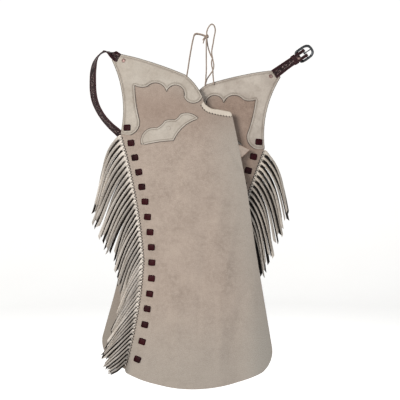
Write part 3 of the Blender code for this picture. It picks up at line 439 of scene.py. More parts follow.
# %% [markdown]
# ## Finishes
# Leather is one material with many faces. Suede is the flesh side, brushed until its fibres stand up: it
# has no gloss, a soft bloom of light at its rim, and a cloudy tone where hands have laid the nap one way
# or another. Grain leather is the outer side: smooth, with fine pores and a dull wax gloss. Each finish
# below mixes a few noises of real size. A large one is the cloudiness of the hide, a middle one its
# blotches, and a fine one the nap or the pores. They read the piece's own flat pattern, in metres, so the
# marks stay on the leather wherever it bends.

# %% Finish tools
def srgb(code):
    """A hex colour as Blender's linear red, green and blue."""
    parts = np.array([int(code[k:k + 2], 16) for k in (1, 3, 5)]) / 255.0
    linear = np.where(parts <= 0.04045, parts / 12.92, ((parts + 0.055) / 1.055) ** 2.4)
    return (*linear.tolist(), 1.0)


def add(tree, kind, inputs=(), **options):
    """Adds a node: the options are its settings, and each input gets a value or another node's output."""
    made = tree.nodes.new(kind)
    for key, value in options.items():
        setattr(made, key, value)
    for key, value in dict(inputs).items():
        if isinstance(value, bpy.types.NodeSocket):
            tree.links.new(value, made.inputs[key])
        else:
            made.inputs[key].default_value = value
    return made


def new_finish(name, values):
    """A new material with its node tree and its Principled shader, which gets the fixed values."""
    made = bpy.data.materials.new(name)
    made.use_nodes = True
    shader = made.node_tree.nodes["Principled BSDF"]
    for key, value in values.items():
        shader.inputs[key].default_value = value
    return made, made.node_tree, shader


# %% Suede
def suede(name, light, dark, grey_and_shade_colour, edge, shift, nap_mm=2.6, bloom=0.30):
    """Brushed split leather, dry and matt. The eye sees no gloss, only cloudy tone and standing fibres."""
    made, tree, shader = new_finish(name, {
        "Roughness": 0.94, "Specular IOR Level": 0.18, "Sheen Weight": bloom, "Sheen Roughness": 0.55,
        "Sheen Tint": srgb("#e8ddcf"),
    })
    flat = add(tree, "ShaderNodeUVMap", uv_map="pattern").outputs[0]
    place = add(tree, "ShaderNodeMapping", {0: flat, 1: (shift, shift * 0.7, 0.0)}).outputs[0]
    cloud = add(tree, "ShaderNodeTexNoise",
                {"Vector": place, "Scale": 13.0, "Detail": 7.0, "Roughness": 0.68})
    blotch = add(tree, "ShaderNodeTexNoise",
                 {"Vector": place, "Scale": 85.0, "Detail": 6.0, "Roughness": 0.78})
    nap = add(tree, "ShaderNodeTexNoise",
              {"Vector": place, "Scale": 1000.0 / nap_mm, "Detail": 3.0, "Roughness": 0.75})
    fine = add(tree, "ShaderNodeTexNoise", {"Vector": place, "Scale": 1100.0, "Detail": 2.0})
    tone = add(tree, "ShaderNodeMapRange", {0: cloud.outputs[0], 1: 0.3, 2: 0.7}).outputs[0]
    hide = add(tree, "ShaderNodeMix", {0: tone, 6: srgb(dark), 7: srgb(light)}, data_type="RGBA")
    worn = add(tree, "ShaderNodeMapRange", {0: blotch.outputs[0], 1: 0.42, 2: 0.64, 4: 0.8}).outputs[0]
    rubbed = add(tree, "ShaderNodeMix", {0: worn, 6: hide.outputs[2], 7: srgb(light)}, data_type="RGBA")
    # The mark mixes in a third colour: on the panels a greyer tone towards the inner edge, the hem and the
    # seam; on the fringe it is painted shade, dark on the strands that hang behind and on every strand's
    # sides.
    grey_and_shade_mask = add(tree, "ShaderNodeAttribute", attribute_name="grey_and_shade_mask").outputs["Fac"]
    broken = add(tree, "ShaderNodeMath", {0: blotch.outputs[0], 1: 0.7}, operation="MULTIPLY_ADD")
    broken.inputs[2].default_value = 0.65
    grey_and_shade_amount = add(tree, "ShaderNodeMath", {0: grey_and_shade_mask, 1: broken.outputs[0]}, operation="MULTIPLY", use_clamp=True)
    grey_and_shade_mixed = add(tree, "ShaderNodeMix", {0: grey_and_shade_amount.outputs[0], 6: rubbed.outputs[2], 7: srgb(grey_and_shade_colour)},
                 data_type="RGBA")
    fleck = add(tree, "ShaderNodeMapRange",
                {0: nap.outputs[0], 1: 0.34, 2: 0.62, 3: 0.80, 4: 1.07}).outputs[0]
    flecked = add(tree, "ShaderNodeMix", {0: 1.0, 6: grey_and_shade_mixed.outputs[2], 7: fleck}, data_type="RGBA",
                  blend_type="MULTIPLY")
    rim = add(tree, "ShaderNodeAttribute", attribute_name="rim").outputs["Fac"]
    colour = add(tree, "ShaderNodeMix", {0: rim, 6: flecked.outputs[2], 7: srgb(edge)}, data_type="RGBA")
    tree.links.new(colour.outputs[2], shader.inputs["Base Color"])
    low = add(tree, "ShaderNodeBump", {"Strength": 0.35, "Distance": 0.0009, "Height": blotch.outputs[0]})
    mid = add(tree, "ShaderNodeBump", {"Strength": 0.45, "Distance": 0.0008, "Height": nap.outputs[0],
                                       "Normal": low.outputs[0]})
    top = add(tree, "ShaderNodeBump", {"Strength": 0.5, "Distance": 0.0003, "Height": fine.outputs[0],
                                       "Normal": mid.outputs[0]})
    tree.links.new(top.outputs[0], shader.inputs["Normal"])
    return made


# The far panel's colours are darker than the near panel's: that is painted shade, for the far leg hanging in
# the near one's shade.
PANEL_SUEDE = {
    "near": suede("tan_suede_near", "#b3a498", "#95877c", "#a7a198", "#7f6555", 0.0),
    "far": suede("tan_suede_far_painted_shade", "#9f8c7f", "#7d6a5d", "#989087", "#6f5c50", 3.1),
}
# The far fringe's colours are darker than the near fringe's, as painted shade. The third, near-black colour is
# painted shade for the strands behind and for the strands' sides.
FRINGE_SUEDE = {
    "near": suede("fringe_suede_near", "#f3ebe1", "#d3c8bb", "#251e1a", "#8b7e72", 7.3, nap_mm=2.0, bloom=0.0),
    "far": suede("fringe_suede_far_painted_shade", "#e2d9cd", "#b5aa9d", "#181412", "#7b6e63", 6.1, nap_mm=2.0, bloom=0.0),
}
print("suede finishes:", [m.name for m in bpy.data.materials if "suede" in m.name])


# %% Grain leather
def grain_leather(name, light, dark, line, rough, pore_mm, shift, coat=0.0, crease=0.35, gloss=0.35):
    """Smooth tanned hide. Pores and fine wrinkles break a low wax gloss; the wrinkles' hollows are a little
    darker, and the cut edges darker still: on the cream pieces and the burgundy blocks that dark edge is also
    painted shade.
    """
    made, tree, shader = new_finish(name, {
        "Specular IOR Level": gloss, "Coat Weight": coat, "Coat Roughness": 0.35,
    })
    flat = add(tree, "ShaderNodeUVMap", uv_map="pattern").outputs[0]
    place = add(tree, "ShaderNodeMapping", {0: flat, 1: (shift, shift * 0.6, 0.0)}).outputs[0]
    cloud = add(tree, "ShaderNodeTexNoise", {"Vector": place, "Scale": 16.0, "Detail": 5.0, "Roughness": 0.6})
    pores = add(tree, "ShaderNodeTexVoronoi", {"Vector": place, "Scale": 1000.0 / pore_mm})
    wrinkle = add(tree, "ShaderNodeTexNoise",
                  {"Vector": place, "Scale": 95.0, "Detail": 6.0, "Roughness": 0.62, "Distortion": 1.6})
    tone = add(tree, "ShaderNodeMapRange", {0: cloud.outputs[0], 1: 0.34, 2: 0.66}).outputs[0]
    hide = add(tree, "ShaderNodeMix", {0: tone, 6: srgb(dark), 7: srgb(light)}, data_type="RGBA")
    # Colour a little darker in the wrinkles' hollows, from the same noise that raises the wrinkles.
    darker_in_hollows = add(tree, "ShaderNodeMapRange", {0: wrinkle.outputs[0], 1: 0.3, 2: 0.62, 3: 0.9, 4: 1.03})
    hollows_darkened = add(tree, "ShaderNodeMix", {0: 1.0, 6: hide.outputs[2], 7: darker_in_hollows.outputs[0]}, data_type="RGBA",
                blend_type="MULTIPLY")
    rim = add(tree, "ShaderNodeAttribute", attribute_name="rim").outputs["Fac"]
    colour = add(tree, "ShaderNodeMix", {0: rim, 6: hollows_darkened.outputs[2], 7: srgb(line)}, data_type="RGBA")
    tree.links.new(colour.outputs[2], shader.inputs["Base Color"])
    dull = add(tree, "ShaderNodeMapRange", {0: wrinkle.outputs[0], 1: 0.3, 2: 0.7, 3: rough + 0.1,
                                            4: rough - 0.08})
    tree.links.new(dull.outputs[0], shader.inputs["Roughness"])
    fold = add(tree, "ShaderNodeBump", {"Strength": crease, "Distance": 0.0012, "Height": wrinkle.outputs[0]})
    pit = add(tree, "ShaderNodeBump", {"Strength": 0.25, "Distance": 0.0003, "Height": pores.outputs[0],
                                       "Normal": fold.outputs[0]})
    tree.links.new(pit.outputs[0], shader.inputs["Normal"])
    return made


# The third colour is the cut edge's, nearly black: a dark edge and painted shade along it together.
CREAM = {
    "near": grain_leather("cream_leather_near", "#b7afa4", "#a79d91", "#2f2621", 0.66, 1.3, 0.0),
    "far": grain_leather("cream_leather_far", "#bbb2a7", "#9f9489", "#2a221d", 0.66, 1.3, 2.2),
}
PALE_TRIM = grain_leather("pale_trim_leather", "#cdc4b7", "#bdb2a4", "#8b7f71", 0.66, 1.1, 4.0)
# The third colour, near black, paints the blocks' low edges: a dark edge and painted shade together.
BURGUNDY = grain_leather("burgundy_leather", "#34070e", "#170306", "#050101", 0.5, 0.9, 1.0, coat=0.02,
                         crease=0.5, gloss=0.06)
LACE = grain_leather("lace_leather", "#a8978a", "#7e6e62", "#5c4f45", 0.7, 0.8, 5.0, crease=0.6)
print("grain finishes:", [m.name for m in bpy.data.materials if "leather" in m.name])


# %% Tooled strap leather
def tooled_leather(name, body, deep, rubbed):
    """Dyed strap leather, stamped while wet. Dye sits dark in the stamps and is rubbed off their rims."""
    made, tree, shader = new_finish(name, {
        "Roughness": 0.45, "Specular IOR Level": 0.15, "Coat Weight": 0.03, "Coat Roughness": 0.3,
    })
    flat = add(tree, "ShaderNodeUVMap", uv_map="pattern").outputs[0]
    bent = add(tree, "ShaderNodeTexNoise", {"Vector": flat, "Scale": 60.0, "Detail": 2.0}).outputs["Color"]
    sway = add(tree, "ShaderNodeVectorMath", {0: bent, 1: (0.004, 0.004, 0.0)}, operation="MULTIPLY")
    place = add(tree, "ShaderNodeVectorMath", {0: flat, 1: sway.outputs[0]}, operation="ADD").outputs[0]
    petals = add(tree, "ShaderNodeTexVoronoi", {"Vector": place, "Scale": 150.0}, feature="DISTANCE_TO_EDGE")
    veins = add(tree, "ShaderNodeTexWave", {"Vector": place, "Scale": 115.0, "Distortion": 9.0,
                                            "Detail": 2.0}, bands_direction="DIAGONAL")
    band = add(tree, "ShaderNodeAttribute", attribute_name="tooling").outputs["Fac"]
    stamp = add(tree, "ShaderNodeMapRange", {0: petals.outputs[0], 1: 0.02, 2: 0.16}).outputs[0]
    carve = add(tree, "ShaderNodeMath", {0: stamp, 1: veins.outputs["Fac"]}, operation="MULTIPLY").outputs[0]
    high = add(tree, "ShaderNodeMath", {0: carve, 1: band}, operation="MULTIPLY").outputs[0]
    dye = add(tree, "ShaderNodeMix", {0: stamp, 6: srgb(deep), 7: srgb(body)}, data_type="RGBA")
    plain = add(tree, "ShaderNodeMix", {0: band, 6: srgb(body), 7: dye.outputs[2]}, data_type="RGBA")
    chalk = add(tree, "ShaderNodeMapRange", {0: high, 1: 0.62, 2: 0.95, 4: 0.75}).outputs[0]
    worn = add(tree, "ShaderNodeMix", {0: chalk, 6: plain.outputs[2], 7: srgb(rubbed)}, data_type="RGBA")
    rim = add(tree, "ShaderNodeAttribute", attribute_name="rim").outputs["Fac"]
    colour = add(tree, "ShaderNodeMix", {0: rim, 6: worn.outputs[2], 7: srgb("#4c2a2d")}, data_type="RGBA")
    tree.links.new(colour.outputs[2], shader.inputs["Base Color"])
    relief = add(tree, "ShaderNodeBump", {"Strength": 0.8, "Distance": 0.0008, "Height": high})
    pores = add(tree, "ShaderNodeTexNoise", {"Vector": flat, "Scale": 900.0, "Detail": 3.0})
    skin = add(tree, "ShaderNodeBump", {"Strength": 0.25, "Distance": 0.0003, "Height": pores.outputs[0],
                                        "Normal": relief.outputs[0]})
    tree.links.new(skin.outputs[0], shader.inputs["Normal"])
    return made


TOOLED = tooled_leather("tooled_burgundy_leather", "#250a0f", "#0c0304", "#b8a19c")


# %% Metal and thread
def plated(name, colour, stain, rough, shift):
    """Polished, plated metal. It mirrors the lights; handling dulls it in patches and fine scratches."""
    made, tree, shader = new_finish(name, {"Metallic": 1.0})
    place = add(tree, "ShaderNodeTexCoord").outputs["Object"]
    moved = add(tree, "ShaderNodeMapping", {0: place, 1: (shift, 0.0, 0.0)}).outputs[0]
    smear = add(tree, "ShaderNodeTexNoise", {"Vector": moved, "Scale": 140.0, "Detail": 4.0})
    scratch = add(tree, "ShaderNodeTexNoise", {"Vector": moved, "Scale": 900.0, "Detail": 4.0})
    tone = add(tree, "ShaderNodeMapRange", {0: smear.outputs[0], 1: 0.42, 2: 0.7}).outputs[0]
    colour = add(tree, "ShaderNodeMix", {0: tone, 6: srgb(colour), 7: srgb(stain)}, data_type="RGBA")
    dull = add(tree, "ShaderNodeMapRange", {0: smear.outputs[0], 1: 0.35, 2: 0.7, 3: rough, 4: rough + 0.16})
    tree.links.new(colour.outputs[2], shader.inputs["Base Color"])
    tree.links.new(dull.outputs[0], shader.inputs["Roughness"])
    bump = add(tree, "ShaderNodeBump", {"Strength": 0.06, "Distance": 0.0002, "Height": scratch.outputs[0]})
    tree.links.new(bump.outputs[0], shader.inputs["Normal"])
    return made


def waxed_thread(name, light, dark):
    """Waxed linen thread. Its plies run round it as fine slanted ridges with a faint shine."""
    made, tree, shader = new_finish(name, {"Roughness": 0.6, "Specular IOR Level": 0.35, "Sheen Weight": 0.1})
    place = add(tree, "ShaderNodeTexCoord").outputs["Object"]
    plies = add(tree, "ShaderNodeTexWave", {"Vector": place, "Scale": 420.0, "Distortion": 1.5},
                bands_direction="DIAGONAL")
    colour = add(tree, "ShaderNodeMix", {0: plies.outputs["Fac"], 6: srgb(dark), 7: srgb(light)},
                 data_type="RGBA")
    tree.links.new(colour.outputs[2], shader.inputs["Base Color"])
    bump = add(tree, "ShaderNodeBump", {"Strength": 0.5, "Distance": 0.0003, "Height": plies.outputs["Fac"]})
    tree.links.new(bump.outputs[0], shader.inputs["Normal"])
    return made


CHROME = plated("dark_chrome", "#46484b", "#141517", 0.14, 0.0)
COPPER = plated("copper", "#85706b", "#503c38", 0.44, 2.0)
TAN_THREAD = waxed_thread("tan_thread", "#8a7c6d", "#5f5347")
BLACK_LACING = waxed_thread("black_lacing", "#2d2522", "#120e0d")
print("finishes in all:", len(bpy.data.materials))

# %% [markdown]
# ## The laces
# Three laces hold the chaps up. One runs through the near yoke's hole, one through the far yoke's, and
# both ends of each are drawn up into one knot. A third is tied into the knot as a loop to hang from, and
# its long end hangs down free. The two that carry the legs are pulled taut, so they are nearly straight;
# only the free end bends as it likes. Each is a tube along a smooth curve, a little uneven, because such
# a lace is cut by hand from scrap and rolled.

# %% Laces
LACE_D = 4.0
LACE_NEAR = [
    (-21.9, -2.6, -32.6),
    (-29.0, -3.0, -30.0),
    (-38.0, -3.4, -27.8),
    (-46.0, -4.0, -26.6),
    (-52.6, -4.8, -29.6),
    (-55.6, -6.6, -40.0),
    (-58.8, -9.5, -54.0),
    (-63.2, -14.0, -78.0),
    (-68.2, -21.0, -110.0),
    (-72.4, -27.0, -140.0),
    (-74.4, -28.6, -152.0),
    (-75.0, -28.0, -156.4),
    (-75.0, -24.6, -158.3),
    (-75.0, -20.6, -158.2),
    (-75.0, -18.2, -155.0),
    (-73.9, -17.0, -147.5),
    (-71.4, -12.4, -132.0),
    (-66.8, -5.4, -100.0),
    (-61.8, 0.4, -70.0),
    (-57.0, 3.4, -45.0),
    (-53.6, 4.2, -32.5),
    (-47.6, 4.4, -27.6),
    (-38.0, 3.8, -28.6),
    (-29.0, 3.2, -31.0),
    (-21.9, 2.5, -33.6),
]
LACE_FAR = [
    (-16.8, -2.5, -40.6),
    (-17.0, -2.4, -52.0),
    (-17.2, -0.6, -72.0),
    (-17.1, 3.6, -106.0),
    (-17.0, 8.0, -136.0),
    (-18.6, 11.4, -162.0),
    (-19.8, 11.8, -174.5),
    (-20.4, 12.6, -179.6),
    (-20.4, 16.0, -181.4),
    (-20.2, 20.0, -181.0),
    (-19.6, 22.6, -177.4),
    (-18.0, 23.4, -170.0),
    (-13.6, 23.6, -158.0),
    (-5.4, 23.0, -146.0),
    (2.6, 21.0, -134.0),
    (5.6, 18.6, -119.0),
    (2.2, 15.2, -101.0),
    (-3.6, 12.4, -89.0),
    (-10.4, 8.6, -71.0),
    (-14.0, 5.0, -54.0),
    (-15.6, 2.9, -40.8),
]
LACE_LOOP = [
    (-15.8, 0.0, -28.4),
    (-15.4, 0.2, -20.0),
    (-11.6, 0.2, -9.4),
    (-5.6, 0.1, -1.2),
    (0.0, 0.0, 2.0),
    (6.0, -0.2, -2.4),
    (9.4, -0.4, -12.0),
    (9.4, -0.8, -22.0),
    (6.0, -1.6, -39.0),
    (3.2, -2.6, -57.0),
    (-0.4, -3.4, -76.0),
    (-0.6, -3.6, -90.0),
    (1.4, -3.2, -100.0),
    (-1.2, -2.4, -111.0),
    (-0.6, -1.2, -124.0),
    (2.4, 0.8, -136.0),
    (3.0, 3.2, -150.0),
    (4.6, 6.6, -166.0),
    (5.4, 9.0, -177.0),
]
LACE_FACTS = (
    ("near_tie_lace", LACE_NEAR, "lace_near", "object", "taut"),
    ("far_tie_lace", LACE_FAR, "lace_far", "object", "taut"),
    ("hanging_loop_lace", LACE_LOOP, "lace_loop", "bare", "hanging"),
)
laces = []
for name, rows, node, end, lay in LACE_FACTS:
    piece, path, length = cord_mesh(name, rows, LACE_D, LACE)
    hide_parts(node)
    laces.append(piece)
    print(name, round(length * 1000), "mm long")

# %% [markdown]
# ## The knot
# The real knot is one of the laces wound round the bundle and tucked under itself. A lump would look
# cast, so the knot is a lace too: its path climbs round the bundle as a short helix, tilted, and its two
# ends stick out below.

# %% Knot
KNOT_MIDDLE = np.array((-16.4, -0.2, -35.0))
KNOT_TURNS, KNOT_WIDE, KNOT_DEEP, KNOT_RISE = 3.1, 4.3, 3.6, 8.4
share = np.linspace(0.0, 1.0, 90)
angle = 2.0 * math.pi * KNOT_TURNS * share + 0.6
swell = 1.0 + 0.22 * np.sin(math.pi * share) + 0.05 * np.sin(7.0 * angle / KNOT_TURNS)
wound = np.stack([KNOT_WIDE * swell * np.cos(angle), KNOT_DEEP * swell * np.sin(angle),
                  KNOT_RISE * (share - 0.5)], axis=-1)
tilt = math.radians(24.0)
wound = np.stack([wound[:, 0] * math.cos(tilt) - wound[:, 2] * math.sin(tilt), wound[:, 1],
                  wound[:, 0] * math.sin(tilt) + wound[:, 2] * math.cos(tilt)], axis=-1) + KNOT_MIDDLE
KNOT_ENDS = (
    ("knot_end_front",
     [(-19.0, -2.0, -34.5), (-21.6, -4.4, -38.4), (-24.8, -5.8, -42.6), (-27.0, -6.2, -46.6)]),
    ("knot_end_back", [(-18.6, 3.0, -35.0), (-21.4, 5.4, -41.0), (-24.6, 6.8, -47.4), (-26.4, 7.0, -53.8)]),
)
knot = put_mesh("wound_knot", tube(wound, 1.75, 10), tube_faces(len(wound) + 6, 10), LACE,
                uv=np.stack(np.broadcast_arrays(np.linspace(0, 0.1, len(wound) + 6)[:, None],
                                                np.linspace(0, 0.011, 10)[None]), axis=-1))
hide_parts("lace_knot")
for name, rows in KNOT_ENDS:
    end, _, _ = cord_mesh(name, rows, LACE_D - 0.6, LACE, spacing=1.2, sides=10)
print("knot of", len(knot.data.polygons), "faces")

# %% [markdown]
# ## Sheets of leather
# A sheet is drawn flat between its borders, on a grid, and then the leg bends it. The leg panel has four
# borders, so it is a Coons patch: each point is the mean of where the two pairs of borders would put it.
# A yoke is a band between two borders. A real cut edge is soft, so the last millimetre or two of a sheet
# thins, and that needs a few grid lines close to the border and none elsewhere.

# %% Grids over a flat pattern
def grid_lines(count, close):
    """Shares from 0 to 1, even in the middle, with the close ones added at both ends."""
    close = np.asarray(close, float)
    middle = np.linspace(close[-1], 1.0 - close[-1], count + 2)[1:-1]
    return np.concatenate([[0.0], close, middle, 1.0 - close[::-1], [1.0]])


def at_shares(line, shares):
    """The line's points at these shares of its length."""
    run = np.concatenate([[0.0], np.cumsum(np.linalg.norm(np.diff(line, axis=0), axis=1))])
    return np.column_stack([np.interp(np.asarray(shares) * run[-1], run, line[:, k]) for k in (0, 1)])


def coons_patch(top, bottom, left, right, across_shares, down_shares):
    """Top to bottom and left to right blends added, less the blend of the four corners."""
    s, t = across_shares[None, :, None], down_shares[:, None, None]
    top, bottom = at_shares(top, across_shares)[None], at_shares(bottom, across_shares)[None]
    left, right = at_shares(left, down_shares)[:, None], at_shares(right, down_shares)[:, None]
    corners = ((1 - s) * (1 - t) * top[:, :1] + s * (1 - t) * top[:, -1:]
               + (1 - s) * t * bottom[:, :1] + s * t * bottom[:, -1:])
    return (1 - t) * top + t * bottom + (1 - s) * left + s * right - corners


def band_between(first, second, step, shares):
    """Straight lines from the first border to the second; both come in parts that are matched in turn."""
    lines = []
    for k, (a, b) in enumerate(zip(first, second)):
        longest = max(np.linalg.norm(np.diff(line, axis=0), axis=1).sum() for line in (a, b))
        along = np.linspace(0.0, 1.0, int(longest / step) + 2)[0 if k == 0 else 1:]
        lines.append(np.stack([at_shares(a, along), at_shares(b, along)]))
    a, b = np.concatenate(lines, axis=1)
    v = shares[:, None, None]
    return (1 - v) * a[None] + v * b[None]


def sheet_mesh(name, leg, flat, front, back, look, marks):
    """A closed sheet over the flat grid, between the front and back offsets from the suede's middle."""
    across, down = flat[..., 0], flat[..., 1]
    sides = [leg.point(across, down, out) for out in (front, back)]
    points = np.concatenate([side.reshape(-1, 3) for side in sides])
    uv = np.concatenate([flat.reshape(-1, 2)] * 2) * MM
    marks = [(mark, np.concatenate([values.ravel()] * 2)) for mark, values in marks]
    return put_mesh(name, points, slab_faces(*across.shape), look, uv=uv, marks=marks)


def cut_out(piece, cutter):
    """Takes the cutter's solid out of the piece with an exact Boolean, then drops the cutter."""
    cut = piece.modifiers.new("Cut", "BOOLEAN")
    cut.operation, cut.solver, cut.object = "DIFFERENCE", "EXACT", cutter
    graph = bpy.context.evaluated_depsgraph_get()
    fresh = bpy.data.meshes.new_from_object(piece.evaluated_get(graph))
    piece.modifiers.clear()
    piece.data = fresh
    bpy.data.objects.remove(cutter, do_unlink=True)


def lace_hole(piece, leg):
    """Cuts the round hole that the lace goes through, square to the leather."""
    middle = leg.point(0.0, 0.0, 0.0)
    normal = leg.normal(np.array(0.0), np.array(0.0))
    side = unit(np.cross(normal, (0.0, 0.0, 1.0)))
    up = np.cross(side, normal)
    angle = np.linspace(0.0, 2.0 * math.pi, 25)[:-1, None]
    ring = 4.2 * (np.cos(angle) * side + np.sin(angle) * up)
    points = np.concatenate([middle + ring - 12.0 * normal, middle + ring + 12.0 * normal])
    walls = [(k, (k + 1) % 24, 24 + (k + 1) % 24, 24 + k) for k in range(24)]
    cutter_mesh = bpy.data.meshes.new("hole_cutter")
    lids = [tuple(range(23, -1, -1)), tuple(range(24, 48))]
    cutter_mesh.from_pydata((points * MM).tolist(), [], walls + lids)
    cutter = bpy.data.objects.new("hole_cutter", cutter_mesh)
    bpy.context.scene.collection.objects.link(cutter)
    cut_out(piece, cutter)


def cloth_area(piece):
    """Half the piece's surface in square metres, which is the leather's own area."""
    area = np.empty(len(piece.data.polygons))
    piece.data.polygons.foreach_get("area", area)
    return float(area.sum()) / 2.0


# %% [markdown]
# ## Leg panels
# The panel is one side of split hide from the waist to the hem. Its shape comes from the leg; here it gets
# its thickness of 1.8 mm, its softened cut edge, a greyer tone towards the inner edge and the hem, a paler
# stripe beside the outer seam, and on the near leg a browner field inside the scallops. The far panel's
# suede is painted darker than the near one's, as painted shade.

# %% Panels
SUEDE_THICK = 1.8
PANEL_TOP = edge_line(YOKE_TOP_EDGE[1:] + CROTCH_EDGE + INNER_EDGE_AND_HEM[:1])
PANEL_LEFT = edge_line(INNER_EDGE_AND_HEM[-1:] + OUTER_SEAM + YOKE_TOP_EDGE[:2])[::-1]
PANEL_RIGHT = edge_line(INNER_EDGE_AND_HEM[:5])
PANEL_HEM = edge_line(INNER_EDGE_AND_HEM[4:])[::-1]
panels = {}
for leg in LEGS:
    wide = grid_lines(112, (0.0022, 0.0055, 0.011))
    tall = grid_lines(246, (0.0010, 0.0025, 0.005))
    flat = coons_patch(PANEL_TOP, PANEL_HEM, PANEL_LEFT, PANEL_RIGHT, wide, tall)
    across, down = flat[..., 0], flat[..., 1]
    inward = np.minimum(wide, 1.0 - wide)[None] * 420.0
    upward = np.minimum(tall, 1.0 - tall)[:, None] * 950.0
    from_edge = np.minimum(inward, upward)
    half = SUEDE_THICK / 2.0 * (0.5 + 0.5 * smoothstep(from_edge / 1.8))
    from_seam = across - np.interp(down, *OUTER_EDGE_AT.T)
    # A greyer tone towards the inner edge and the hem, and a paler stripe beside the outer seam.
    grey_and_shade_mask = 0.75 * smoothstep((across - np.interp(down, *INNER_EDGE_AT.T) + 130.0) / 150.0)
    grey_and_shade_mask = grey_and_shade_mask + 0.55 * smoothstep((down - 600.0) / 300.0) + 0.25 * smoothstep(1.0 - from_seam / 30.0)
    browner = (0.34 if leg is NEAR else 0.0) * np.exp(-((down - 95.0) / 75.0) ** 2)
    rim = np.maximum(1.0 - smoothstep(from_edge / 1.6), browner)
    name = f"{leg.tag}_leg_panel"
    piece = sheet_mesh(name, leg, flat, half, -half, PANEL_SUEDE[leg.tag],
                       [("grey_and_shade_mask", np.clip(grey_and_shade_mask, 0.0, 1.0)), ("rim", rim)])
    lace_hole(piece, leg)
    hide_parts(f"{leg.tag}_panel")
    panels[leg.tag] = piece
    print(name, len(piece.data.polygons), "faces,", round(cloth_area(piece), 3), "square metres")

# %% [markdown]
# ## Yokes, facings, crotch trims and tabs
# These lie on the panel. Each is thicker than the suede, so its edge throws a fine shadow, and on the cream
# pieces the last millimetre or two is painted nearly black, a dark edge and painted shade together: that
# draws the scallops. The sewing pulls a shallow trough a needle's width inside the edge, which is painted a
# little darker, and the leather swells between that trough and its neighbour. All of these depend on the
# distance to the nearest edge, which is measured for every point of the grid.

# %% Leather laid on the panel
SEAM_GAP = 0.3
OVER = SUEDE_THICK / 2.0 + SEAM_GAP
STITCH_INSET = 6.2


def soft_waves(across, down, size, shift):
    """Three crossed waves of different length and direction, between about -1 and 1."""
    a = np.sin(across / size + 1.7 * np.sin(down / (2.3 * size) + shift))
    b = np.sin((0.6 * across + 0.8 * down) / (0.7 * size) + shift * 2.0)
    c = np.sin((0.9 * across - 0.5 * down) / (1.3 * size) + 2.6 * shift)
    return (a + b + c) / 3.0


def laid_piece(name, leg, first, second, look, outline, low, thick, step=1.7, rows=30, puckered=0.25,
               inset=STITCH_INSET, shift=0.0):
    """A band of leather with rounded edges, a sewn trough beside them and a faint swell between."""
    near_edges = (0.006, 0.016, 0.032, 0.055, 0.08, 0.105, 0.13)
    flat = band_between(first, second, step, grid_lines(rows, near_edges))
    across, down = flat[..., 0], flat[..., 1]
    inside = edge_distance(across, down, outline)
    front = low + thick - 0.45 * thick * (1.0 - smoothstep(inside / 1.8))
    if inset:
        front = front - 0.5 * np.exp(-((inside - inset) / 1.2) ** 2)
    front = front + puckered * soft_waves(across, down, 9.0, shift) * smoothstep(inside / 14.0)
    # The rim mark paints the edge's last millimetres dark, a dark cut edge and painted shade together, and the
    # trough's line a little darker.
    rim = 1.0 - smoothstep((inside - 0.8) / 1.4)
    if inset:
        rim = np.maximum(rim, 0.35 * np.exp(-((inside - inset) / 1.1) ** 2))
    return sheet_mesh(name, leg, flat, front, np.full(across.shape, low), look, [("rim", rim)])


def split(line, *shares):
    """The line cut into parts at these shares of its length."""
    stops = [0.0, *shares, 1.0]
    return [at_shares(line, np.linspace(a, b, 200)) for a, b in zip(stops, stops[1:])]


YOKE_OUTER = [edge_line(YOKE_TOP_EDGE[:2]), edge_line(YOKE_TOP_EDGE[1:4])]
YOKE_OUTER += split(edge_line(YOKE_TOP_EDGE[3:] + YOKE_SCALLOPS[:1]), 0.36, 0.68)
YOKE_INNER = [edge_line(YOKE_SCALLOPS[a:b])[::-1] for a, b in ((6, 9), (5, 7), (3, 6), (2, 4), (1, 3))]
FACING_TOP = [edge_line(POCKET_FACING[:4]), edge_line(POCKET_FACING[3:7])]
FACING_BOTTOM = [edge_line(POCKET_FACING[8:])[::-1], edge_line(POCKET_FACING[7:9])[::-1]]
TRIM_TOP = [edge_line(CROTCH_EDGE[1:] + CROTCH_TRIM_LOWER[:1])]
TRIM_BOTTOM = [edge_line(CROTCH_TRIM_LOWER[1:])[::-1]]
TRIM_OUTLINE = edge_line(CROTCH_EDGE[1:] + CROTCH_TRIM_LOWER + CROTCH_EDGE[1:2])
TAB_TOP, TAB_BOTTOM = [edge_line(THIGH_TAB[:3])], [edge_line(THIGH_TAB[3:])[::-1]]
TAB_OUTLINE = edge_line(THIGH_TAB + THIGH_TAB[:1])
for k, (a, b) in enumerate(zip(YOKE_OUTER, YOKE_INNER)):
    print("yoke part", k, a[0].round(), a[-1].round(), "against", b[0].round(), b[-1].round())

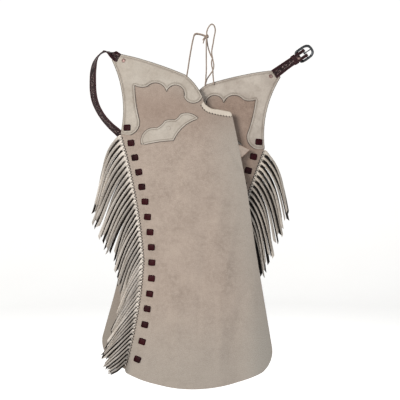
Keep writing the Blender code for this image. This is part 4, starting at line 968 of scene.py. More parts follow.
# %% Dress both legs' tops
for leg in LEGS:
    shift = 0.0 if leg is NEAR else 1.9
    yoke = laid_piece(f"{leg.tag}_scalloped_yoke", leg, YOKE_OUTER, YOKE_INNER, CREAM[leg.tag],
                      YOKE_OUTLINE, OVER, 2.4, shift=shift)
    lace_hole(yoke, leg)
    facing = laid_piece(f"{leg.tag}_bat_facing", leg, FACING_TOP, FACING_BOTTOM, CREAM[leg.tag],
                        FACING_OUTLINE, OVER, 1.6, puckered=0.3, shift=shift + 0.7)
    trim = laid_piece(f"{leg.tag}_crotch_binding", leg, TRIM_TOP, TRIM_BOTTOM, PALE_TRIM, TRIM_OUTLINE,
                      OVER, 2.0, rows=14, puckered=0.15, inset=0.0, shift=shift)
    tab = laid_piece(f"{leg.tag}_tab", leg, TAB_TOP, TAB_BOTTOM, PANEL_SUEDE[leg.tag], TAB_OUTLINE,
                     -OVER - 2.0, 2.0, rows=14, puckered=0.1, inset=0.0)
    for piece, node, slot in ((yoke, "yoke", "cream_leather"), (facing, "pocket_facing", "cream_leather"),
                              (trim, "crotch_trim", "pale_trim_leather"), (tab, "thigh_tab", "tan_suede")):
        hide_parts(f"{leg.tag}_{node}")
        print(piece.name, len(piece.data.polygons), "faces,", round(cloth_area(piece) * 1e4), "square cm")

# %% [markdown]
# ## Lace blocks
# Sixteen squares of burgundy leather run down each outer seam, where a heavy lace goes in and out. Each
# is a little cushion: its corners are cut, its edge is low and its crown is round. All of a leg's blocks
# are one mesh: the same small grid, placed sixteen times.

# %% Lace blocks
# across, down, turn in degrees of each lace block's middle
BLOCKS = [
    (-177.0, 150.0, 0),
    (-166.5, 195.6, -4),
    (-154.8, 239.1, -6),
    (-143.1, 282.6, -8),
    (-134.1, 326.7, -3),
    (-124.5, 370.8, 2),
    (-117.0, 416.4, 3),
    (-109.8, 461.7, 3),
    (-105.6, 507.0, 2),
    (-104.4, 552.6, 4),
    (-105.3, 599.7, 6),
    (-111.0, 645.9, 8),
    (-118.2, 690.9, 10),
    (-125.4, 738.0, 12),
    (-133.2, 788.1, 16),
    (-147.3, 841.5, 20),
]
BLOCK_HALF_W, BLOCK_HALF_H, BLOCK_EDGE, BLOCK_CROWN = 10.4, 9.5, 1.6, 3.4


def cushion(lines):
    """A square of parameters with its corners cut, and how far each point lies from the middle, 0 to 1."""
    u, v = np.meshgrid(lines, lines)
    cut = 1.0 / np.maximum(1.0, (np.abs(u) + np.abs(v)) / 1.74)
    return u * cut, v * cut, np.maximum(np.abs(u), np.abs(v))


lines = np.array([-1.0, -0.94, -0.84, -0.66, -0.42, -0.14, 0.14, 0.42, 0.66, 0.84, 0.94, 1.0])
u, v, out = cushion(lines)
rise = BLOCK_EDGE * 0.75 + (BLOCK_CROWN - BLOCK_EDGE * 0.75) * (1.0 - out ** 2.6) ** 0.6
for leg in LEGS:
    rows = np.array(BLOCKS, float)
    turn = np.radians(rows[:, 2])[:, None, None]
    across = rows[:, 0, None, None] + BLOCK_HALF_W * u * np.cos(turn) - BLOCK_HALF_H * v * np.sin(turn)
    down = rows[:, 1, None, None] + BLOCK_HALF_W * u * np.sin(turn) + BLOCK_HALF_H * v * np.cos(turn)
    low = np.full(len(rows), OVER)
    low[0] += 2.4 + SEAM_GAP
    low = np.broadcast_to(low[:, None, None], across.shape)
    uneven = 0.25 * np.sin(across / 3.1 + rows[:, 1, None, None]) * (1.0 - out)
    front = leg.point(across, down, low + rise + uneven)
    back = leg.point(across, down, low)
    points = np.stack([front, back], axis=1).reshape(len(rows), -1, 3)
    faces = slab_faces(len(lines), len(lines))
    # The cushion's low edge is painted near black: a dark edge and painted shade together.
    rim = np.broadcast_to(0.75 * smoothstep((out - 0.86) / 0.14), front.shape[:3])
    uv = np.stack([across, down], axis=-1) * MM
    blocks = put_mesh(f"{leg.tag}_lace_blocks", points, many(points[0], faces, len(rows)), BURGUNDY,
                      uv=np.stack([uv, uv], axis=1), marks=[("rim", np.stack([rim, rim], axis=1))])
    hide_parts(*[f"{leg.tag}_block_{k + 1:02d}" for k in range(len(rows))])
    print(blocks.name, len(blocks.data.polygons), "faces")

# %% [markdown]
# ## Fringe
# The fringe is one long strip, sewn into the outer seam and cut into strands nearly to its edge. Each
# strand leaves the seam outwards, curves over and hangs. A strand is a flat ribbon, cupped a little, and
# it turns as it falls. Every second one swings a few millimetres behind the others: the front ones show
# their pale faces, and the ones behind fill the gaps between, in shade and with painted shade that makes
# their faces dark. The sides and backs of all strands are painted darker too, as painted shade, and the
# far fringe is painted darker than the near one.
# The strands hang in bunches: the upper ones of a bunch lean less and the lower ones more.

# %% Strand paths
# share of the way down the seam, strand length, lean from the plumb line at the root, middle and tip,
# and how far the strand hangs away from the other leg
FRINGE = {
    "near": [
        (0.00, 236, 60, 12, 15, -18),
        (0.06, 234, 57, 18, 21, -14),
        (0.12, 226, 51, 24, 26, -10),
        (0.25, 194, 45, 26, 19, -2),
        (0.36, 172, 41, 23, 16, 6),
        (0.50, 168, 42, 21, 17, 15),
        (0.60, 166, 42, 25, 23, 31),
        (0.70, 164, 46, 34, 32, 43),
        (0.80, 140, 52, 42, 40, 54),
        (0.90, 98, 58, 51, 49, 66),
        (1.00, 42, 66, 62, 60, 66),
    ],
    "far": [
        (0.00, 208, 52, 17, 10, -18),
        (0.06, 210, 50, 19, 12, -14),
        (0.12, 216, 46, 18, 12, -10),
        (0.25, 216, 40, 14, 8, -2),
        (0.36, 204, 36, 12, 8, 6),
        (0.50, 180, 36, 12, 12, 15),
        (0.60, 165, 36, 14, 14, 31),
        (0.70, 150, 40, 20, 18, 43),
        (0.80, 138, 42, 28, 26, 54),
        (0.90, 116, 37, 30, 27, 66),
        (1.00, 50, 52, 48, 45, 66),
    ],
}
STRANDS = 86
FACE_WIDTH, UNDER_WIDTH, STRAND_THICK, STRIP_WIDTH = 11.0, 9.6, 1.4, 5.0
LAYER_DEPTH = 8.0
BUNCHES = (0.0, 0.15, 0.30, 0.46, 0.60, 0.73, 0.86, 1.01)
STEPS = 25


def strand_paths(leg, roots, shares):
    """Middle points and leans of every strand at 25 steps: the lean is a parabola through three values."""
    rows = np.array(FRINGE[leg.tag], float)
    length, root, mid, tip, back = (np.interp(shares, rows[:, 0], rows[:, k])[:, None] for k in range(1, 6))
    index = np.arange(len(shares))[:, None]
    bunch = np.digitize(shares, BUNCHES) - 1
    low, high = np.array(BUNCHES)[bunch], np.array(BUNCHES)[bunch + 1]
    within = ((shares - low) / (high - low))[:, None]
    gather = (4.5 if leg is NEAR else 2.5) * (within - 0.5)
    sway = 1.5 * np.sin(index * 0.83) + 1.1 * np.sin(index * 0.37 + 1.0)
    t = np.linspace(0.0, 1.0, STEPS)[None]
    mid, tip = mid + sway + 0.6 * gather, tip + sway + gather
    lean = np.radians(root * (1 - t) * (1 - 2 * t) + mid * 4 * t * (1 - t) + tip * t * (2 * t - 1))
    down = np.cumsum(np.cos(lean), axis=1) - np.cos(lean[:, :1])
    out = np.cumsum(np.sin(lean), axis=1) - np.sin(lean[:, :1])
    cut = 0.87 + 0.15 * np.modf(index * 0.618)[0]
    x = roots[:, :1] - leg.side * out * cut * length / (STEPS - 1.0)
    y = roots[:, 1:2] + 4.0 * smoothstep(t) + leg.fan * back * smoothstep(t / 0.55)
    y = y + LAYER_DEPTH * ((index % 2) - 0.5) * smoothstep(t / 0.25) + 0.8 * np.sin(index * 2.4) * t
    z = roots[:, 2:] - down * cut * length / (STEPS - 1.0)
    return np.stack([x, y, z], axis=2), lean


def louvre_turns(leg, paths, leans):
    """How far each ribbon is turned from the front at each step, so that its flat faces its neighbour."""
    here, following = paths[:-1], paths[1:]
    apart = following[:, None] - here[:, :, None]
    nearest = np.linalg.norm(apart, axis=3).argmin(axis=2)
    apart = np.take_along_axis(apart, nearest[..., None, None], axis=2)[:, :, 0]
    lean = leans[:-1]
    sideways = leg.side * apart[..., 0] * np.cos(lean) - apart[..., 2] * np.sin(lean)
    turn = np.arctan2(np.abs(sideways), np.maximum(leg.fan * apart[..., 1], 0.0))
    turn = np.clip(turn, math.radians(14.0), math.radians(52.0))
    turn = np.concatenate([turn, turn[-1:]])
    weights = np.ones(5) / 5.0
    padded = np.pad(turn, ((2, 2), (0, 0)), mode="edge")
    return sum(weights[k] * padded[k:k + len(turn)] for k in range(5))


# %% Cut the fringe
# Painted shade for each ribbon point: the sides, and less so the back, are painted darker as shade; -1 takes
# the strand's face tone.
RIBBON = np.array([(-1.0, -0.2), (-0.9, -0.5), (-0.35, -0.62), (0.35, -0.62), (0.9, -0.5), (1.0, -0.2),
                   (0.92, 0.4), (0.35, 0.3), (-0.35, 0.3), (-0.92, 0.4)])
RIBBON_PAINTED_SHADE = np.array([0.9, -1.0, -1.0, -1.0, -1.0, 0.9, 0.45, 0.15, 0.15, 0.45])
for leg in LEGS:
    tangent = unit(np.gradient(SEAM_LINE, SEAM_RUN, axis=0))
    outward = np.column_stack([-tangent[:, 1], tangent[:, 0]])
    total = SEAM_RUN[-1]
    pitch = (total - 6.0) / STRANDS
    centres = 3.0 + pitch * (np.arange(STRANDS) + 0.5)
    seat = at_shares(SEAM_LINE, centres / total)
    side = np.column_stack([np.interp(centres, SEAM_RUN, outward[:, k]) for k in (0, 1)])
    seat = seat + side * (STRIP_WIDTH - 1.5)
    roots = leg.point(seat[:, 0], seat[:, 1], 0.0)
    paths, leans = strand_paths(leg, roots, centres / total)
    t = np.linspace(0.0, 1.0, STEPS)
    index = np.arange(STRANDS)
    turns = np.empty((STRANDS, STEPS))
    for layer in (0, 1):
        turns[layer::2] = louvre_turns(leg, paths[layer::2], leans[layer::2])
    turns = leg.fan * (turns * smoothstep(t / 0.12) + 0.22 * np.sin(index * 1.9)[:, None] * t)
    cos, sin = np.cos(turns)[..., None], np.sin(turns)[..., None]
    level = np.stack([leg.side * np.cos(leans), np.zeros_like(leans), -np.sin(leans)], axis=-1)
    back = np.broadcast_to((0.0, 1.0, 0.0), level.shape)
    wide, thick = level * cos - back * sin, back * cos + level * sin
    along = unit(np.gradient(paths, axis=1))
    narrow = 1.0 - 0.12 * smoothstep((t - 0.8) / 0.2)
    slimmer = np.interp(centres / total, (0.0, 0.45, 1.0), (1.0, 0.92, 0.66))
    under = UNDER_WIDTH + (0.0 if leg is NEAR else 3.0)
    half = 0.5 * np.where(index % 2 == 0, FACE_WIDTH * slimmer, under) * (1.0 + 0.08 * np.sin(index * 3.3))
    half = half[:, None, None, None] * narrow[None, :, None, None]
    a, b = RIBBON[:, 0][None, None, :, None], RIBBON[:, 1][None, None, :, None]
    points = paths[:, :, None] + a * half * wide[:, :, None] + b * STRAND_THICK * thick[:, :, None]
    lean_cut = np.where(index % 3 == 0, 1.0, -1.0)[:, None, None, None]
    skew = 4.5 * smoothstep((t - 0.9) / 0.1)[None, :, None, None] * (1.0 + lean_cut * a)
    points = points - along[:, :, None] * skew
    n = len(RIBBON)
    faces = tube_faces(STEPS, n)
    # The face tone: a little random per strand, and on every second strand, the ones behind, painted shade
    # that turns the face dark.
    tone = (0.12 + 0.12 * np.sin(index * 2.7 + 0.5) + 1.3 * (index % 2))[:, None, None]
    tone = tone * smoothstep(t / 0.05)[None, :, None] + 0.0 * RIBBON[:, 1]
    grey_and_shade_mask = np.clip(np.where(RIBBON_PAINTED_SHADE >= 0.0, RIBBON_PAINTED_SHADE, tone), 0.0, 1.0)
    uv = np.stack(np.broadcast_arrays(index[:, None, None] * 0.013 + RIBBON[:, 0][None, None] * 0.004,
                                      t[None, :, None] * 0.2), axis=-1)
    strands = put_mesh(f"{leg.tag}_fringe_strands", points, many(points[0].reshape(-1, 3), faces, STRANDS),
                       FRINGE_SUEDE[leg.tag], uv=uv, marks=[("grey_and_shade_mask", grey_and_shade_mask), ("rim", np.zeros(grey_and_shade_mask.shape))],
                       sharp_deg=65.0)
    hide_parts(f"{leg.tag}_fringe")
    run = grid_lines(200, (0.001, 0.002)) * (total - 6.0) + 3.0
    line = at_shares(SEAM_LINE, run / total)
    off = np.column_stack([np.interp(run, SEAM_RUN, outward[:, k]) for k in (0, 1)])
    reach = np.array([0.5, 1.4, 3.0, 4.6, 6.2, STRIP_WIDTH + 0.5])
    flat = line[:, None] + off[:, None] * reach[None, :, None]
    level = np.broadcast_to(np.array([0.6, 1.0, 1.0, 1.0, 1.0, 0.7]), flat.shape[:2])
    strip = sheet_mesh(f"{leg.tag}_fringe_strip", leg, flat, level, -level, FRINGE_SUEDE[leg.tag],
                       [("grey_and_shade_mask", np.zeros(level.shape)), ("rim", np.zeros(level.shape))])
    print(strands.name, len(strands.data.polygons), "faces, pitch", round(pitch, 1), "mm")

# %% [markdown]
# ## Belt strap
# The near leg's strap is tooled burgundy leather. It starts flat on the yoke's corner, turns on edge over
# its own arch, and falls behind the leg. So a strap is a cross section carried along a path, and at each
# station two directions say how it lies: its width and its face. A groove is cut near both borders, the
# middle is stamped, and the edges are rubbed to a light line.

# %% Belt strap
STRAP_WIDTH, STRAP_THICK = 29.0, 3.2
BELT_STRAP = [
    (-293.8, -22.4, -92.8, 24),
    (-301.0, -20.0, -87.8, 54),
    (-309.0, -14.0, -84.0, 74),
    (-317.8, -5.0, -81.6, 82),
    (-330.6, 4.0, -84.8, 80),
    (-341.2, 11.0, -92.2, 72),
    (-349.8, 16.0, -104.4, 63),
    (-355.4, 20.0, -119.4, 53),
    (-359.2, 23.0, -140.4, 47),
    (-360.3, 25.6, -165.0, 44),
    (-359.7, 27.4, -194.1, 43),
    (-355.2, 29.0, -222.6, 45),
    (-344.4, 31.0, -250.5, 50),
    (-327.6, 32.0, -277.5, 51),
    (-306.0, 33.0, -301.5, 48),
    (-285.0, 33.0, -320.1, 42),
    (-264.0, 33.0, -341.0, 36),
    (-243.0, 33.0, -366.6, 32),
]
BELT_STRAP_START = ((-278.4, -102.3), (-284.4, -98.9))
STRAP_SECTION = np.array([
    (-1.0, 0.30), (-0.97, 0.44), (-0.92, 0.50), (-0.82, 0.50), (-0.79, 0.36), (-0.75, 0.36), (-0.72, 0.50),
    (-0.36, 0.53), (0.0, 0.54), (0.36, 0.53), (0.72, 0.50), (0.75, 0.36), (0.79, 0.36), (0.82, 0.50),
    (0.92, 0.50), (0.97, 0.44), (1.0, 0.30), (1.0, -0.30), (0.96, -0.46), (0.5, -0.5), (-0.5, -0.5),
    (-0.96, -0.46), (-1.0, -0.30), (-1.0, 0.0),
])


def on_yoke(leg, x, z, out):
    """The point over the yoke's flat corner seen at x, z, with that corner's normal."""
    u, v = x - leg.hole[0], leg.hole[1] - z
    across = np.array(leg.side * (u * leg.cos + v * leg.sin))
    down = np.array(v * leg.cos - u * leg.sin)
    normal = leg.normal(across, down)
    shifted = leg.middle(across, down) + normal * out
    shift = np.array((x - shifted[0], 0.0, z - shifted[2]))
    shift[1] = -(normal[0] * shift[0] + normal[2] * shift[2]) / normal[1]
    return shifted + shift, normal


def strap_mesh(name, middles, wides, faces_up, look):
    """The strap's section at each station: half widths along one direction, thickness along the other."""
    a, b = STRAP_SECTION[:, 0][None, :, None], STRAP_SECTION[:, 1][None, :, None]
    ends = np.ones(len(middles))
    ends[[0, -1]] = 0.955
    a, b = a * ends[:, None, None], b * ends[:, None, None]
    points = middles[:, None] + a * wides[:, None] + b * faces_up[:, None]
    run = np.concatenate([[0.0], np.cumsum(np.linalg.norm(np.diff(middles, axis=0), axis=1))])
    uv = np.stack(np.broadcast_arrays(run[:, None] * MM, STRAP_SECTION[:, 0][None] * 0.0145), axis=-1)
    front = STRAP_SECTION[:, 1] > 0.33
    tooling = np.broadcast_to(((np.abs(STRAP_SECTION[:, 0]) < 0.7) & front).astype(float), points.shape[:2])
    rim = np.broadcast_to(np.where(front & (np.abs(STRAP_SECTION[:, 0]) > 0.9), 0.6, 0.0), points.shape[:2])
    return put_mesh(name, points, tube_faces(*points.shape[:2]), look, uv=uv,
                    marks=[("tooling", tooling), ("rim", rim)], sharp_deg=40.0)


out = OVER + 2.4 + SEAM_GAP + STRAP_THICK / 2.0
rows = []
for x, z in BELT_STRAP_START:
    place, yoke_normal = on_yoke(NEAR, x, z, out)
    rows.append((*place, 0.0, 1.0))
rows += [(x, y, z, turn, 0.0) for x, y, z, turn in BELT_STRAP]
path = spline(rows, 150)
middles, turn, lying = path[:, :3], np.radians(path[:, 3:4]), np.clip(path[:, 4:5], 0.0, 1.0)
along = unit(np.gradient(middles, axis=0))
facing_front = lying * yoke_normal + (1.0 - lying) * np.array((0.0, -1.0, 0.0))
facing_out = unit(np.column_stack([along[:, 2], np.zeros(len(along)), -along[:, 0]]))
face = np.cos(turn) * facing_front + np.sin(turn) * facing_out
face = unit(face - (face * along).sum(axis=1, keepdims=True) * along)
belt = strap_mesh("tooled_belt_strap", middles, np.cross(along, face) * STRAP_WIDTH / 2.0,
                  face * STRAP_THICK, TOOLED)
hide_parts("belt_strap")
print("belt strap", round(np.linalg.norm(np.diff(middles, axis=0), axis=1).sum()), "mm long")

# %% [markdown]
# ## Buckle strap and keeper
# The far leg's strap is short. It is folded round the buckle's bar and riveted to itself, with a slot in
# the fold for the prong, and a keeper, which is a plain band, holds the two layers. Everything here is
# measured from the strap's own start: along it, across it, and back from its face.

# %% Buckle strap
STRAP_TAPER = [(0, 0.0), (22, 0.4), (44, 2.4), (60, 3.0), (140, 3.0)]
RISE = math.radians(34.4)
start, strap_normal = on_yoke(FAR, 187.6, -145.4, out)
strap_along = np.array((math.cos(RISE), 0.0, math.sin(RISE)))
strap_along[1] = -(strap_normal[0] * strap_along[0] + strap_normal[2] * strap_along[2]) / strap_normal[1]
strap_along = unit(strap_along)
strap_wide = np.cross(strap_along, strap_normal)
strap_wide = -strap_wide if strap_wide[2] > 0 else strap_wide


def on_strap(u, v, w):
    """World points from distances along the strap, across it and back from its middle layer."""
    u, v, w = (np.asarray(q, float)[..., None] for q in (u, v, w))
    return start + u * strap_along + v * strap_wide - w * strap_normal


BAR_AT, FOLD_R, LAYER_GAP = 120.0, 4.1, 0.5
behind = STRAP_THICK + LAYER_GAP
bend = np.linspace(0.0, math.pi, 9)
line = [(u, 0.0) for u in (0, 22, 33, 44, 60, 78, 92, 104, 112)]
line += list(zip(BAR_AT + FOLD_R * np.sin(bend), FOLD_R * (1.0 - np.cos(bend))))
line += [(BAR_AT - 6.0, 7.2), (BAR_AT - 11.0, 5.2), (BAR_AT - 15.0, 4.1), (101.0, behind + 0.05)]
line += [(u, behind) for u in (93.0, 82.0, 70.0)]
line = spline(line, 140)
taper = np.interp(line[:, 0], *np.array(STRAP_TAPER, float).T)
middles = on_strap(line[:, 0], -taper / 2.0, line[:, 1])
run = unit(np.gradient(middles, axis=0))
thick = unit(np.cross(run, strap_wide))
thick = thick if (thick[0] * strap_normal).sum() > 0 else -thick
buckle_strap = strap_mesh("tooled_buckle_strap", middles, (STRAP_WIDTH - taper)[:, None] / 2.0 * strap_wide,
                          thick * STRAP_THICK, TOOLED)
start = start - strap_wide * taper[-1] / 2.0
corners = np.array([on_strap(u, v, w) for u in (101.0, 132.0) for v in (-3.7, 3.7) for w in (-4.0, 13.0)])
slot_mesh = bpy.data.meshes.new("slot_cutter")
slot_mesh.from_pydata((corners * MM).tolist(), [], [(0, 1, 3, 2), (4, 6, 7, 5), (0, 4, 5, 1), (2, 3, 7, 6),
                                                    (0, 2, 6, 4), (1, 5, 7, 3)])
slot_cutter = bpy.data.objects.new("slot_cutter", slot_mesh)
bpy.context.scene.collection.objects.link(slot_cutter)
cut_out(buckle_strap, slot_cutter)
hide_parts("buckle_strap")

# %% Keeper
share = np.linspace(0.0, 1.0, 65)[:-1]
angle = 2.0 * math.pi * share
half_v, half_w = 13.0 + 0.35 + 0.9, (STRAP_THICK + behind) / 2.0 + 0.3 + 0.9
around = (np.abs(np.cos(angle)) ** 9 + np.abs(np.sin(angle)) ** 9) ** (-1.0 / 9)
ring = np.stack([half_v * around * np.cos(angle), half_w * around * np.sin(angle)], axis=-1)
ring_out = unit(np.stack([np.sign(ring[:, 0]) * np.abs(ring[:, 0] / half_v) ** 8 / half_v,
                          np.sign(ring[:, 1]) * np.abs(ring[:, 1] / half_w) ** 8 / half_w], axis=-1))
section = np.array([(-6.0, -0.9), (-6.0, 0.5), (-5.4, 0.9), (-4.6, 0.9), (-4.3, 0.6), (-3.9, 0.6), (-3.6, 0.9),
                    (0.0, 1.0), (3.6, 0.9), (3.9, 0.6), (4.3, 0.6), (4.6, 0.9), (5.4, 0.9), (6.0, 0.5),
                    (6.0, -0.9), (0.0, -0.9)])
v = ring[:, None, 0] + ring_out[:, None, 0] * section[None, :, 1]
w = ring[:, None, 1] + ring_out[:, None, 1] * section[None, :, 1] + behind / 2.0
u = np.broadcast_to(81.0 + section[None, :, 0], v.shape)
uv = np.stack(np.broadcast_arrays(share[:, None] * 0.075, section[None, :, 0] * MM), axis=-1)
edge = np.broadcast_to(np.where((np.abs(section[:, 0]) > 5.0) & (section[:, 1] > 0), 0.75, 0.0), v.shape)
round_keeper = grid_faces(64, len(section), round_rows=True, round_cols=True)
keeper = put_mesh("strap_keeper", on_strap(u, v, w), round_keeper,
                  TOOLED, uv=uv, marks=[("tooling", np.zeros(v.shape)), ("rim", edge)], sharp_deg=40.0)
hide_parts("keeper")
print("buckle strap and keeper:", len(buckle_strap.data.polygons) + len(keeper.data.polygons), "faces")

# %% [markdown]
# ## Buckle, prong and rivets
# The buckle is a cast ring with a rounded outer end and a squarer near one, and a bar across its middle.
# A superellipse gives both ends with one formula: its power says how square it is. The buckle swings on
# the bar and the prong swings by itself, so each rides on its own body. The rivets are turned shapes.

# %% Buckle
TILT = math.radians(16.0)
bar = on_strap(BAR_AT, 0.0, FOLD_R)
reach = strap_along * math.cos(TILT) + strap_normal * math.sin(TILT)
raised = strap_normal * math.cos(TILT) - strap_along * math.sin(TILT)
FRAME_W, FRAME_L, RING_W, FRAME_T = 44.0, 56.0, 7.6, 4.6
angle = 2.0 * math.pi * np.arange(96)[:, None] / 96
turn = 2.0 * math.pi * np.arange(16)[None] / 16
power = np.where(np.cos(angle) > 0, 2.7, 4.5)
radius = (np.abs(np.cos(angle)) ** power + np.abs(np.sin(angle)) ** power) ** (-1.0 / power)
inset = RING_W / 2.0 * (1.0 - np.sign(np.cos(turn)) * np.abs(np.cos(turn)) ** 0.8)
p = (FRAME_L / 2.0 - inset) * radius * np.cos(angle)
q = (FRAME_W / 2.0 - inset) * radius * np.sin(angle)
r = FRAME_T / 2.0 * np.sign(np.sin(turn)) * np.abs(np.sin(turn)) ** 0.8 + 0.0 * p
points = bar + p[..., None] * reach + q[..., None] * strap_wide + r[..., None] * raised
round_ring = grid_faces(96, 16, round_rows=True, round_cols=True)
buckle = put_mesh("buckle_ring", points, round_ring, CHROME, "buckle")
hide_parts("buckle_frame")
span = np.linspace(-18.4, 18.4, 24)[:, None]
rod = tube(bar + span * strap_wide, 2.0, 16)
centre_bar = put_mesh("buckle_bar", rod, tube_faces(30, 16), CHROME, "buckle")

# %% Prong
loop = 2.0 * math.pi * np.arange(40)[:, None] / 40
turn = 2.0 * math.pi * np.arange(12)[None] / 12
radius = 3.225 + 0.875 * np.sign(np.cos(turn)) * np.abs(np.cos(turn)) ** 0.7
side = 1.8 * np.sign(np.sin(turn)) * np.abs(np.sin(turn)) ** 0.7 + 0.0 * loop
points = (bar + (radius * np.cos(loop))[..., None] * reach + (radius * np.sin(loop))[..., None] * raised
          + side[..., None] * strap_wide)
prong_loop = put_mesh("prong_loop", points, grid_faces(40, 12, round_rows=True, round_cols=True), CHROME,
                      "buckle_prong")
PRONG_STATIONS = [(2.6, 3.35, 1.0), (8.0, 3.5, 1.0), (17.0, 3.9, 0.95), (25.0, 4.05, 0.85), (28.3, 3.8, 0.5)]
stations = spline(PRONG_STATIONS, 30)
turn = 2.0 * math.pi * np.arange(14)[None] / 14
wide = 1.75 * np.sign(np.cos(turn)) * np.abs(np.cos(turn)) ** 0.7 * stations[:, 2:]
high = 0.95 * np.sign(np.sin(turn)) * np.abs(np.sin(turn)) ** 0.7 * (0.4 + 0.6 * stations[:, 2:])
points = (bar + stations[:, None, 0:1] * reach + (stations[:, 1:2] + high)[..., None] * raised
          + wide[..., None] * strap_wide)
pin = put_mesh("prong_pin", points, tube_faces(30, 14), CHROME, "buckle_prong")
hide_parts("prong")


# %% Rivets
def turned(name, base, normal, first, second, profile, sides, look):
    """A lathe shape: each row of the profile is a ring's radius and its height along the normal."""
    profile = np.array(profile, float)
    angle = 2.0 * math.pi * np.arange(sides) / sides
    around = np.cos(angle)[:, None] * first + np.sin(angle)[:, None] * second
    points = base + profile[:, None, :1] * around[None] + profile[:, None, 1:] * normal
    return put_mesh(name, points, tube_faces(len(profile), sides), look)


CAP = [(5.2, 0.0), (6.0, 0.1), (6.0, 0.75), (5.7, 1.15), (5.1, 1.4), (4.3, 1.55), (3.9, 1.3), (3.4, 1.25),
       (3.0, 1.6), (2.2, 1.9), (1.2, 2.0), (0.05, 2.02)]
for name, node, leg, at in (("near_yoke_rivet", "near_rivet", NEAR, (-188.0, -49.0)),
                            ("far_yoke_rivet", "far_rivet", FAR, (-193.6, -50.4))):
    across, down = np.array(at[0]), np.array(at[1])
    normal = leg.normal(across, down)
    first = unit(np.cross(normal, (0.0, 0.0, 1.0)))
    base = leg.point(across, down, OVER + 2.4 + 0.1)
    turned(name, base, normal, first, np.cross(normal, first), CAP, 32, COPPER)
    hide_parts(node)
small_cap = [(r * 0.7, h * 0.95) for r, h in CAP]
base = on_strap(93.0, 3.4, -STRAP_THICK / 2.0 - 0.1)
turned("strap_rivet", base, strap_normal, strap_along, strap_wide, small_cap, 28, COPPER)
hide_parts("buckle_rivet")
print("buckle ring", FRAME_W, "by", FRAME_L, "mm, three rivets")

# %% [markdown]
# ## Sewing
# Stitches are small, but they are what makes leather look sewn. A row of stitches follows the piece's
# outline at a fixed distance inside it, so the outline's points are moved inwards and those that come too
# close to another edge are dropped, which rounds each inner corner as a sewing machine would. One stitch is
# a small round bar that dips at both ends into its holes.

# %% Rows of stitches
def inset_runs(outline, inset):
    """The outline moved inwards along its normals, without the points that come nearer than the inset."""
    closed = outline[:-1]
    tangent = unit(np.roll(closed, -1, axis=0) - np.roll(closed, 1, axis=0))
    area = (closed[:, 0] * np.roll(closed[:, 1], -1) - closed[:, 1] * np.roll(closed[:, 0], -1)).sum()
    inward = np.column_stack([-tangent[:, 1], tangent[:, 0]]) * np.sign(area)
    moved = closed + inset * inward
    kept = edge_distance(moved[:, 0], moved[:, 1], closed) > inset - 0.25
    shift = int(np.argmin(kept)) if not kept.all() else 0
    moved, kept = np.roll(moved, -shift, axis=0), np.roll(kept, -shift)
    moved = moved[kept]
    breaks = np.nonzero(np.linalg.norm(np.diff(moved, axis=0), axis=1) > 12.0)[0] + 1
    return [run for run in np.split(moved, breaks) if len(run) > 4]


BAR_T = np.array([-1.0, -0.8, -0.4, 0.0, 0.4, 0.8, 1.0])
BAR_RISE = np.array([-0.75, -0.05, 0.5, 0.62, 0.5, -0.05, -0.75])
BAR_GIRTH = np.array([0.35, 0.85, 1.0, 1.0, 1.0, 0.85, 0.35])


def stitches(leg, runs, pitch, length, girth, out, turn_deg=0.0):
    """Small bars along the runs: their middles are evenly spaced and each lies along its run, or turned."""
    middles, ways = [], []
    for run in runs:
        total = np.linalg.norm(np.diff(run, axis=0), axis=1).sum()
        count = max(2, int(total / pitch))
        places = at_shares(run, (np.arange(count) + 0.5) / count)
        ahead = at_shares(run, np.clip((np.arange(count) + 0.5) / count + 0.5 / total, 0.0, 1.0))
        behind = at_shares(run, np.clip((np.arange(count) + 0.5) / count - 0.5 / total, 0.0, 1.0))
        middles.append(places)
        ways.append(unit(ahead - behind))
    middle, way = np.concatenate(middles), np.concatenate(ways)
    cos, sin = math.cos(math.radians(turn_deg)), math.sin(math.radians(turn_deg))
    way = np.column_stack([way[:, 0] * cos - way[:, 1] * sin, way[:, 0] * sin + way[:, 1] * cos])
    beside = np.column_stack([-way[:, 1], way[:, 0]])
    angle = 2.0 * math.pi * np.arange(6) / 6
    t, round_out = BAR_T[None, :, None], BAR_GIRTH[None, :, None] * girth
    across = (middle[:, 0, None, None] + way[:, 0, None, None] * t * length / 2.0
              + beside[:, 0, None, None] * round_out * np.cos(angle))
    down = (middle[:, 1, None, None] + way[:, 1, None, None] * t * length / 2.0
            + beside[:, 1, None, None] * round_out * np.cos(angle))
    height = out + girth * BAR_RISE[None, :, None] + round_out * np.sin(angle) + 0.0 * across
    return leg.point(across, down, height).reshape(len(middle), -1, 3)


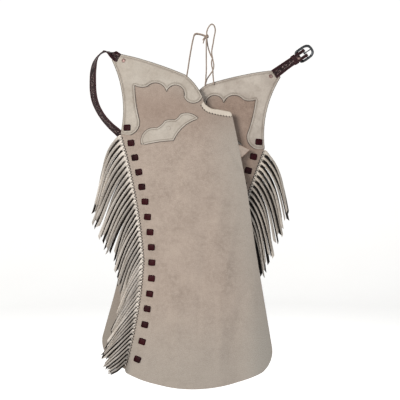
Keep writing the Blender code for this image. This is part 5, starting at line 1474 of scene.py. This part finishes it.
STITCH_FACES = tube_faces(len(BAR_T), 6)
CREAM_TOP = OVER + 2.4
BLACK_ROWS = [np.array([(-137.0, 197.0), (-126.0, 199.0)]), np.array([(24.0, 121.0), (31.0, 123.0)])]
circle = np.linspace(0.0, 2.0 * math.pi, 60)
RING_MARK = np.column_stack([-54.0 + 6.0 * np.cos(circle), 153.0 + 6.0 * np.sin(circle)])
TRIM_ROW = evenly(TRIM_BOTTOM[0] + np.array((0.0, -1.2)), 60)
for leg in LEGS:
    groups = [stitches(leg, inset_runs(YOKE_OUTLINE, STITCH_INSET), 3.4, 2.7, 0.42, CREAM_TOP - 0.45),
              stitches(leg, inset_runs(YOKE_OUTLINE, STITCH_INSET + 2.8), 3.4, 2.7, 0.36, CREAM_TOP + 0.02),
              stitches(leg, inset_runs(FACING_OUTLINE, STITCH_INSET), 3.2, 2.5, 0.40, OVER + 1.6 - 0.45),
              stitches(leg, [RING_MARK], 2.6, 2.1, 0.36, OVER + 1.6 + 0.05)]
    points = np.concatenate(groups)
    sewn = put_mesh(f"{leg.tag}_sewing", points, many(points[0], STITCH_FACES, len(points)), TAN_THREAD)
    groups = [stitches(leg, [TRIM_ROW], 8.0, 5.6, 1.0, OVER + 1.7, turn_deg=62.0),
              stitches(leg, BLACK_ROWS[:1], 4.0, 4.0, 0.7, OVER + 1.4)]
    points = np.concatenate(groups)
    whipped = put_mesh(f"{leg.tag}_whip_stitches", points, many(points[0], STITCH_FACES, len(points)),
                       BLACK_LACING)
    print(leg.tag, len(sewn.data.polygons) // len(STITCH_FACES), "thread stitches,",
          len(whipped.data.polygons) // len(STITCH_FACES), "whip stitches")

# %% [markdown]
# ## Seam lacing
# A dark lace is whipped over the outer seam, through the panel and the fringe's strip, all the way down.
# From the front it is a zigzag: one tube whose points jump from one side of the seam to the other, with
# the corners rounded by the spline.

# %% Seam lacing
ZIGZAG_PITCH, ZIGZAG_REACH = 8.6, 3.3
for leg in LEGS:
    first_down = 8.0
    count = int((SEAM_RUN[-1] - 2.0 * first_down) / ZIGZAG_PITCH) * 2
    where = np.linspace(first_down, SEAM_RUN[-1] - first_down, count)
    tangent = unit(np.gradient(SEAM_LINE, SEAM_RUN, axis=0))
    middle = at_shares(SEAM_LINE, where / SEAM_RUN[-1])
    ahead = [np.interp(where, SEAM_RUN, tangent[:, k]) for k in (0, 1)]
    side = np.column_stack([-ahead[1], ahead[0]])
    swing = ZIGZAG_REACH * np.where(np.arange(count) % 2 == 0, 1.0, -1.0)
    flat = middle + side * (swing[:, None] + 0.3)
    over = np.column_stack([flat, np.full(count, 1.75)])
    fine = spline(over, count * 4)
    path = leg.point(fine[:, 0], fine[:, 1], fine[:, 2])
    points = tube(path, 0.95, 6)
    zigzag = put_mesh(f"{leg.tag}_seam_lacing", points, tube_faces(len(points), 6), BLACK_LACING)
    print(zigzag.name, len(zigzag.data.polygons), "faces")

# %% [markdown]
# ## Sheet sizes
# The frame's table also records which pieces are sheets, how large each was cut and what it hangs from.
# The sizes are the flat patterns' own, measured from the outlines; the areas printed here are measured from
# the finished pieces.

for leg in LEGS:
    tag = leg.tag
    panel = panels[tag]
    cloth_area(panel)
    for name, flat in ((f"{tag}_scalloped_yoke", (0.272, 0.245)), (f"{tag}_bat_facing", (0.176, 0.095)),
                       (f"{tag}_crotch_binding", (0.096, 0.050)), (f"{tag}_tab", (0.073, 0.056))):
        piece = bpy.data.objects[name]
        area = cloth_area(piece)
        print(name, "flat", flat, "area", round(area, 4))

# %% [markdown]
# ## Light and floor
# Product light is soft and comes from the front: a large key from the upper left shapes the folds, a
# weaker fill keeps the right side open, and a third light from behind separates the edges. The floor is a
# pale dish with a rounded rim, so it fades into a pale wall behind the chaps from every side.

# %% Light and floor
def soft_light(name, place, aim, size, power, tint):
    """A square area light at a place, turned to face the aim."""
    data = bpy.data.lights.new(name, "AREA")
    data.shape, data.size, data.energy, data.color = "SQUARE", size, power, srgb(tint)[:3]
    light = bpy.data.objects.new(name, data)
    light.location = place
    towards = np.array(aim) - np.array(place)
    flat = math.hypot(towards[0], towards[1])
    heading = math.atan2(towards[1], towards[0]) - math.pi / 2
    light.rotation_euler = (math.atan2(flat, -towards[2]), 0.0, heading)
    bpy.context.scene.collection.objects.link(light)


soft_light("key", (-2.2, -4.4, 0.5), (0.0, 0.0, -0.6), 1.5, 195.0, "#fffbf6")
soft_light("fill", (2.4, -3.6, -0.3), (0.0, 0.0, -0.6), 2.4, 34.0, "#f4f7ff")
soft_light("back", (0.6, 2.2, 1.4), (0.0, 0.0, -0.4), 1.6, 30.0, "#ffffff")
world = bpy.data.worlds.new("studio")
world.use_nodes = True
world.node_tree.nodes["Background"].inputs["Color"].default_value = srgb("#fbfbfb")
world.node_tree.nodes["Background"].inputs["Strength"].default_value = 0.36
bpy.context.scene.world = world

paint, tree, shader = new_finish("pale_studio_floor", {
    "Roughness": 0.9, "Specular IOR Level": 0.1, "Emission Color": srgb("#f6f6f5"), "Emission Strength": 0.6,
})
place = add(tree, "ShaderNodeTexCoord").outputs["Object"]
stipple = add(tree, "ShaderNodeTexNoise", {"Vector": place, "Scale": 3.0, "Detail": 3.0})
shade = add(tree, "ShaderNodeMix", {0: stipple.outputs[0], 6: srgb("#f3f2f0"), 7: srgb("#f8f8f7")},
            data_type="RGBA")
tree.links.new(shade.outputs[2], shader.inputs["Base Color"])
FLOOR_Z = -1.32
share = np.linspace(0.0, 1.0, 40)
radius = np.concatenate([[0.001], np.linspace(0.4, 4.4, 12), 4.4 + 1.6 * np.sin(share[1:] * math.pi / 2)])
height = np.concatenate([np.zeros(13), 1.6 * (1.0 - np.cos(share[1:] * math.pi / 2))])
radius, height = np.append(radius, 6.0), np.append(height, 5.0)
angle = 2.0 * math.pi * np.arange(96) / 96
points = np.stack([radius[:, None] * np.cos(angle), radius[:, None] * np.sin(angle),
                   np.broadcast_to(height[:, None] + FLOOR_Z, (len(radius), 96))], axis=-1).reshape(-1, 3)
mesh = bpy.data.meshes.new("studio_floor")
mesh.from_pydata(points.tolist(), [], grid_faces(len(radius), 96, round_cols=True)[:, ::-1].tolist())
mesh.polygons.foreach_set("use_smooth", np.ones(len(mesh.polygons), bool))
mesh.materials.append(paint)
floor = bpy.data.objects.new("studio_floor", mesh)
bpy.context.scene.collection.objects.link(floor)
floor.visible_shadow = False
floor.visible_diffuse = False
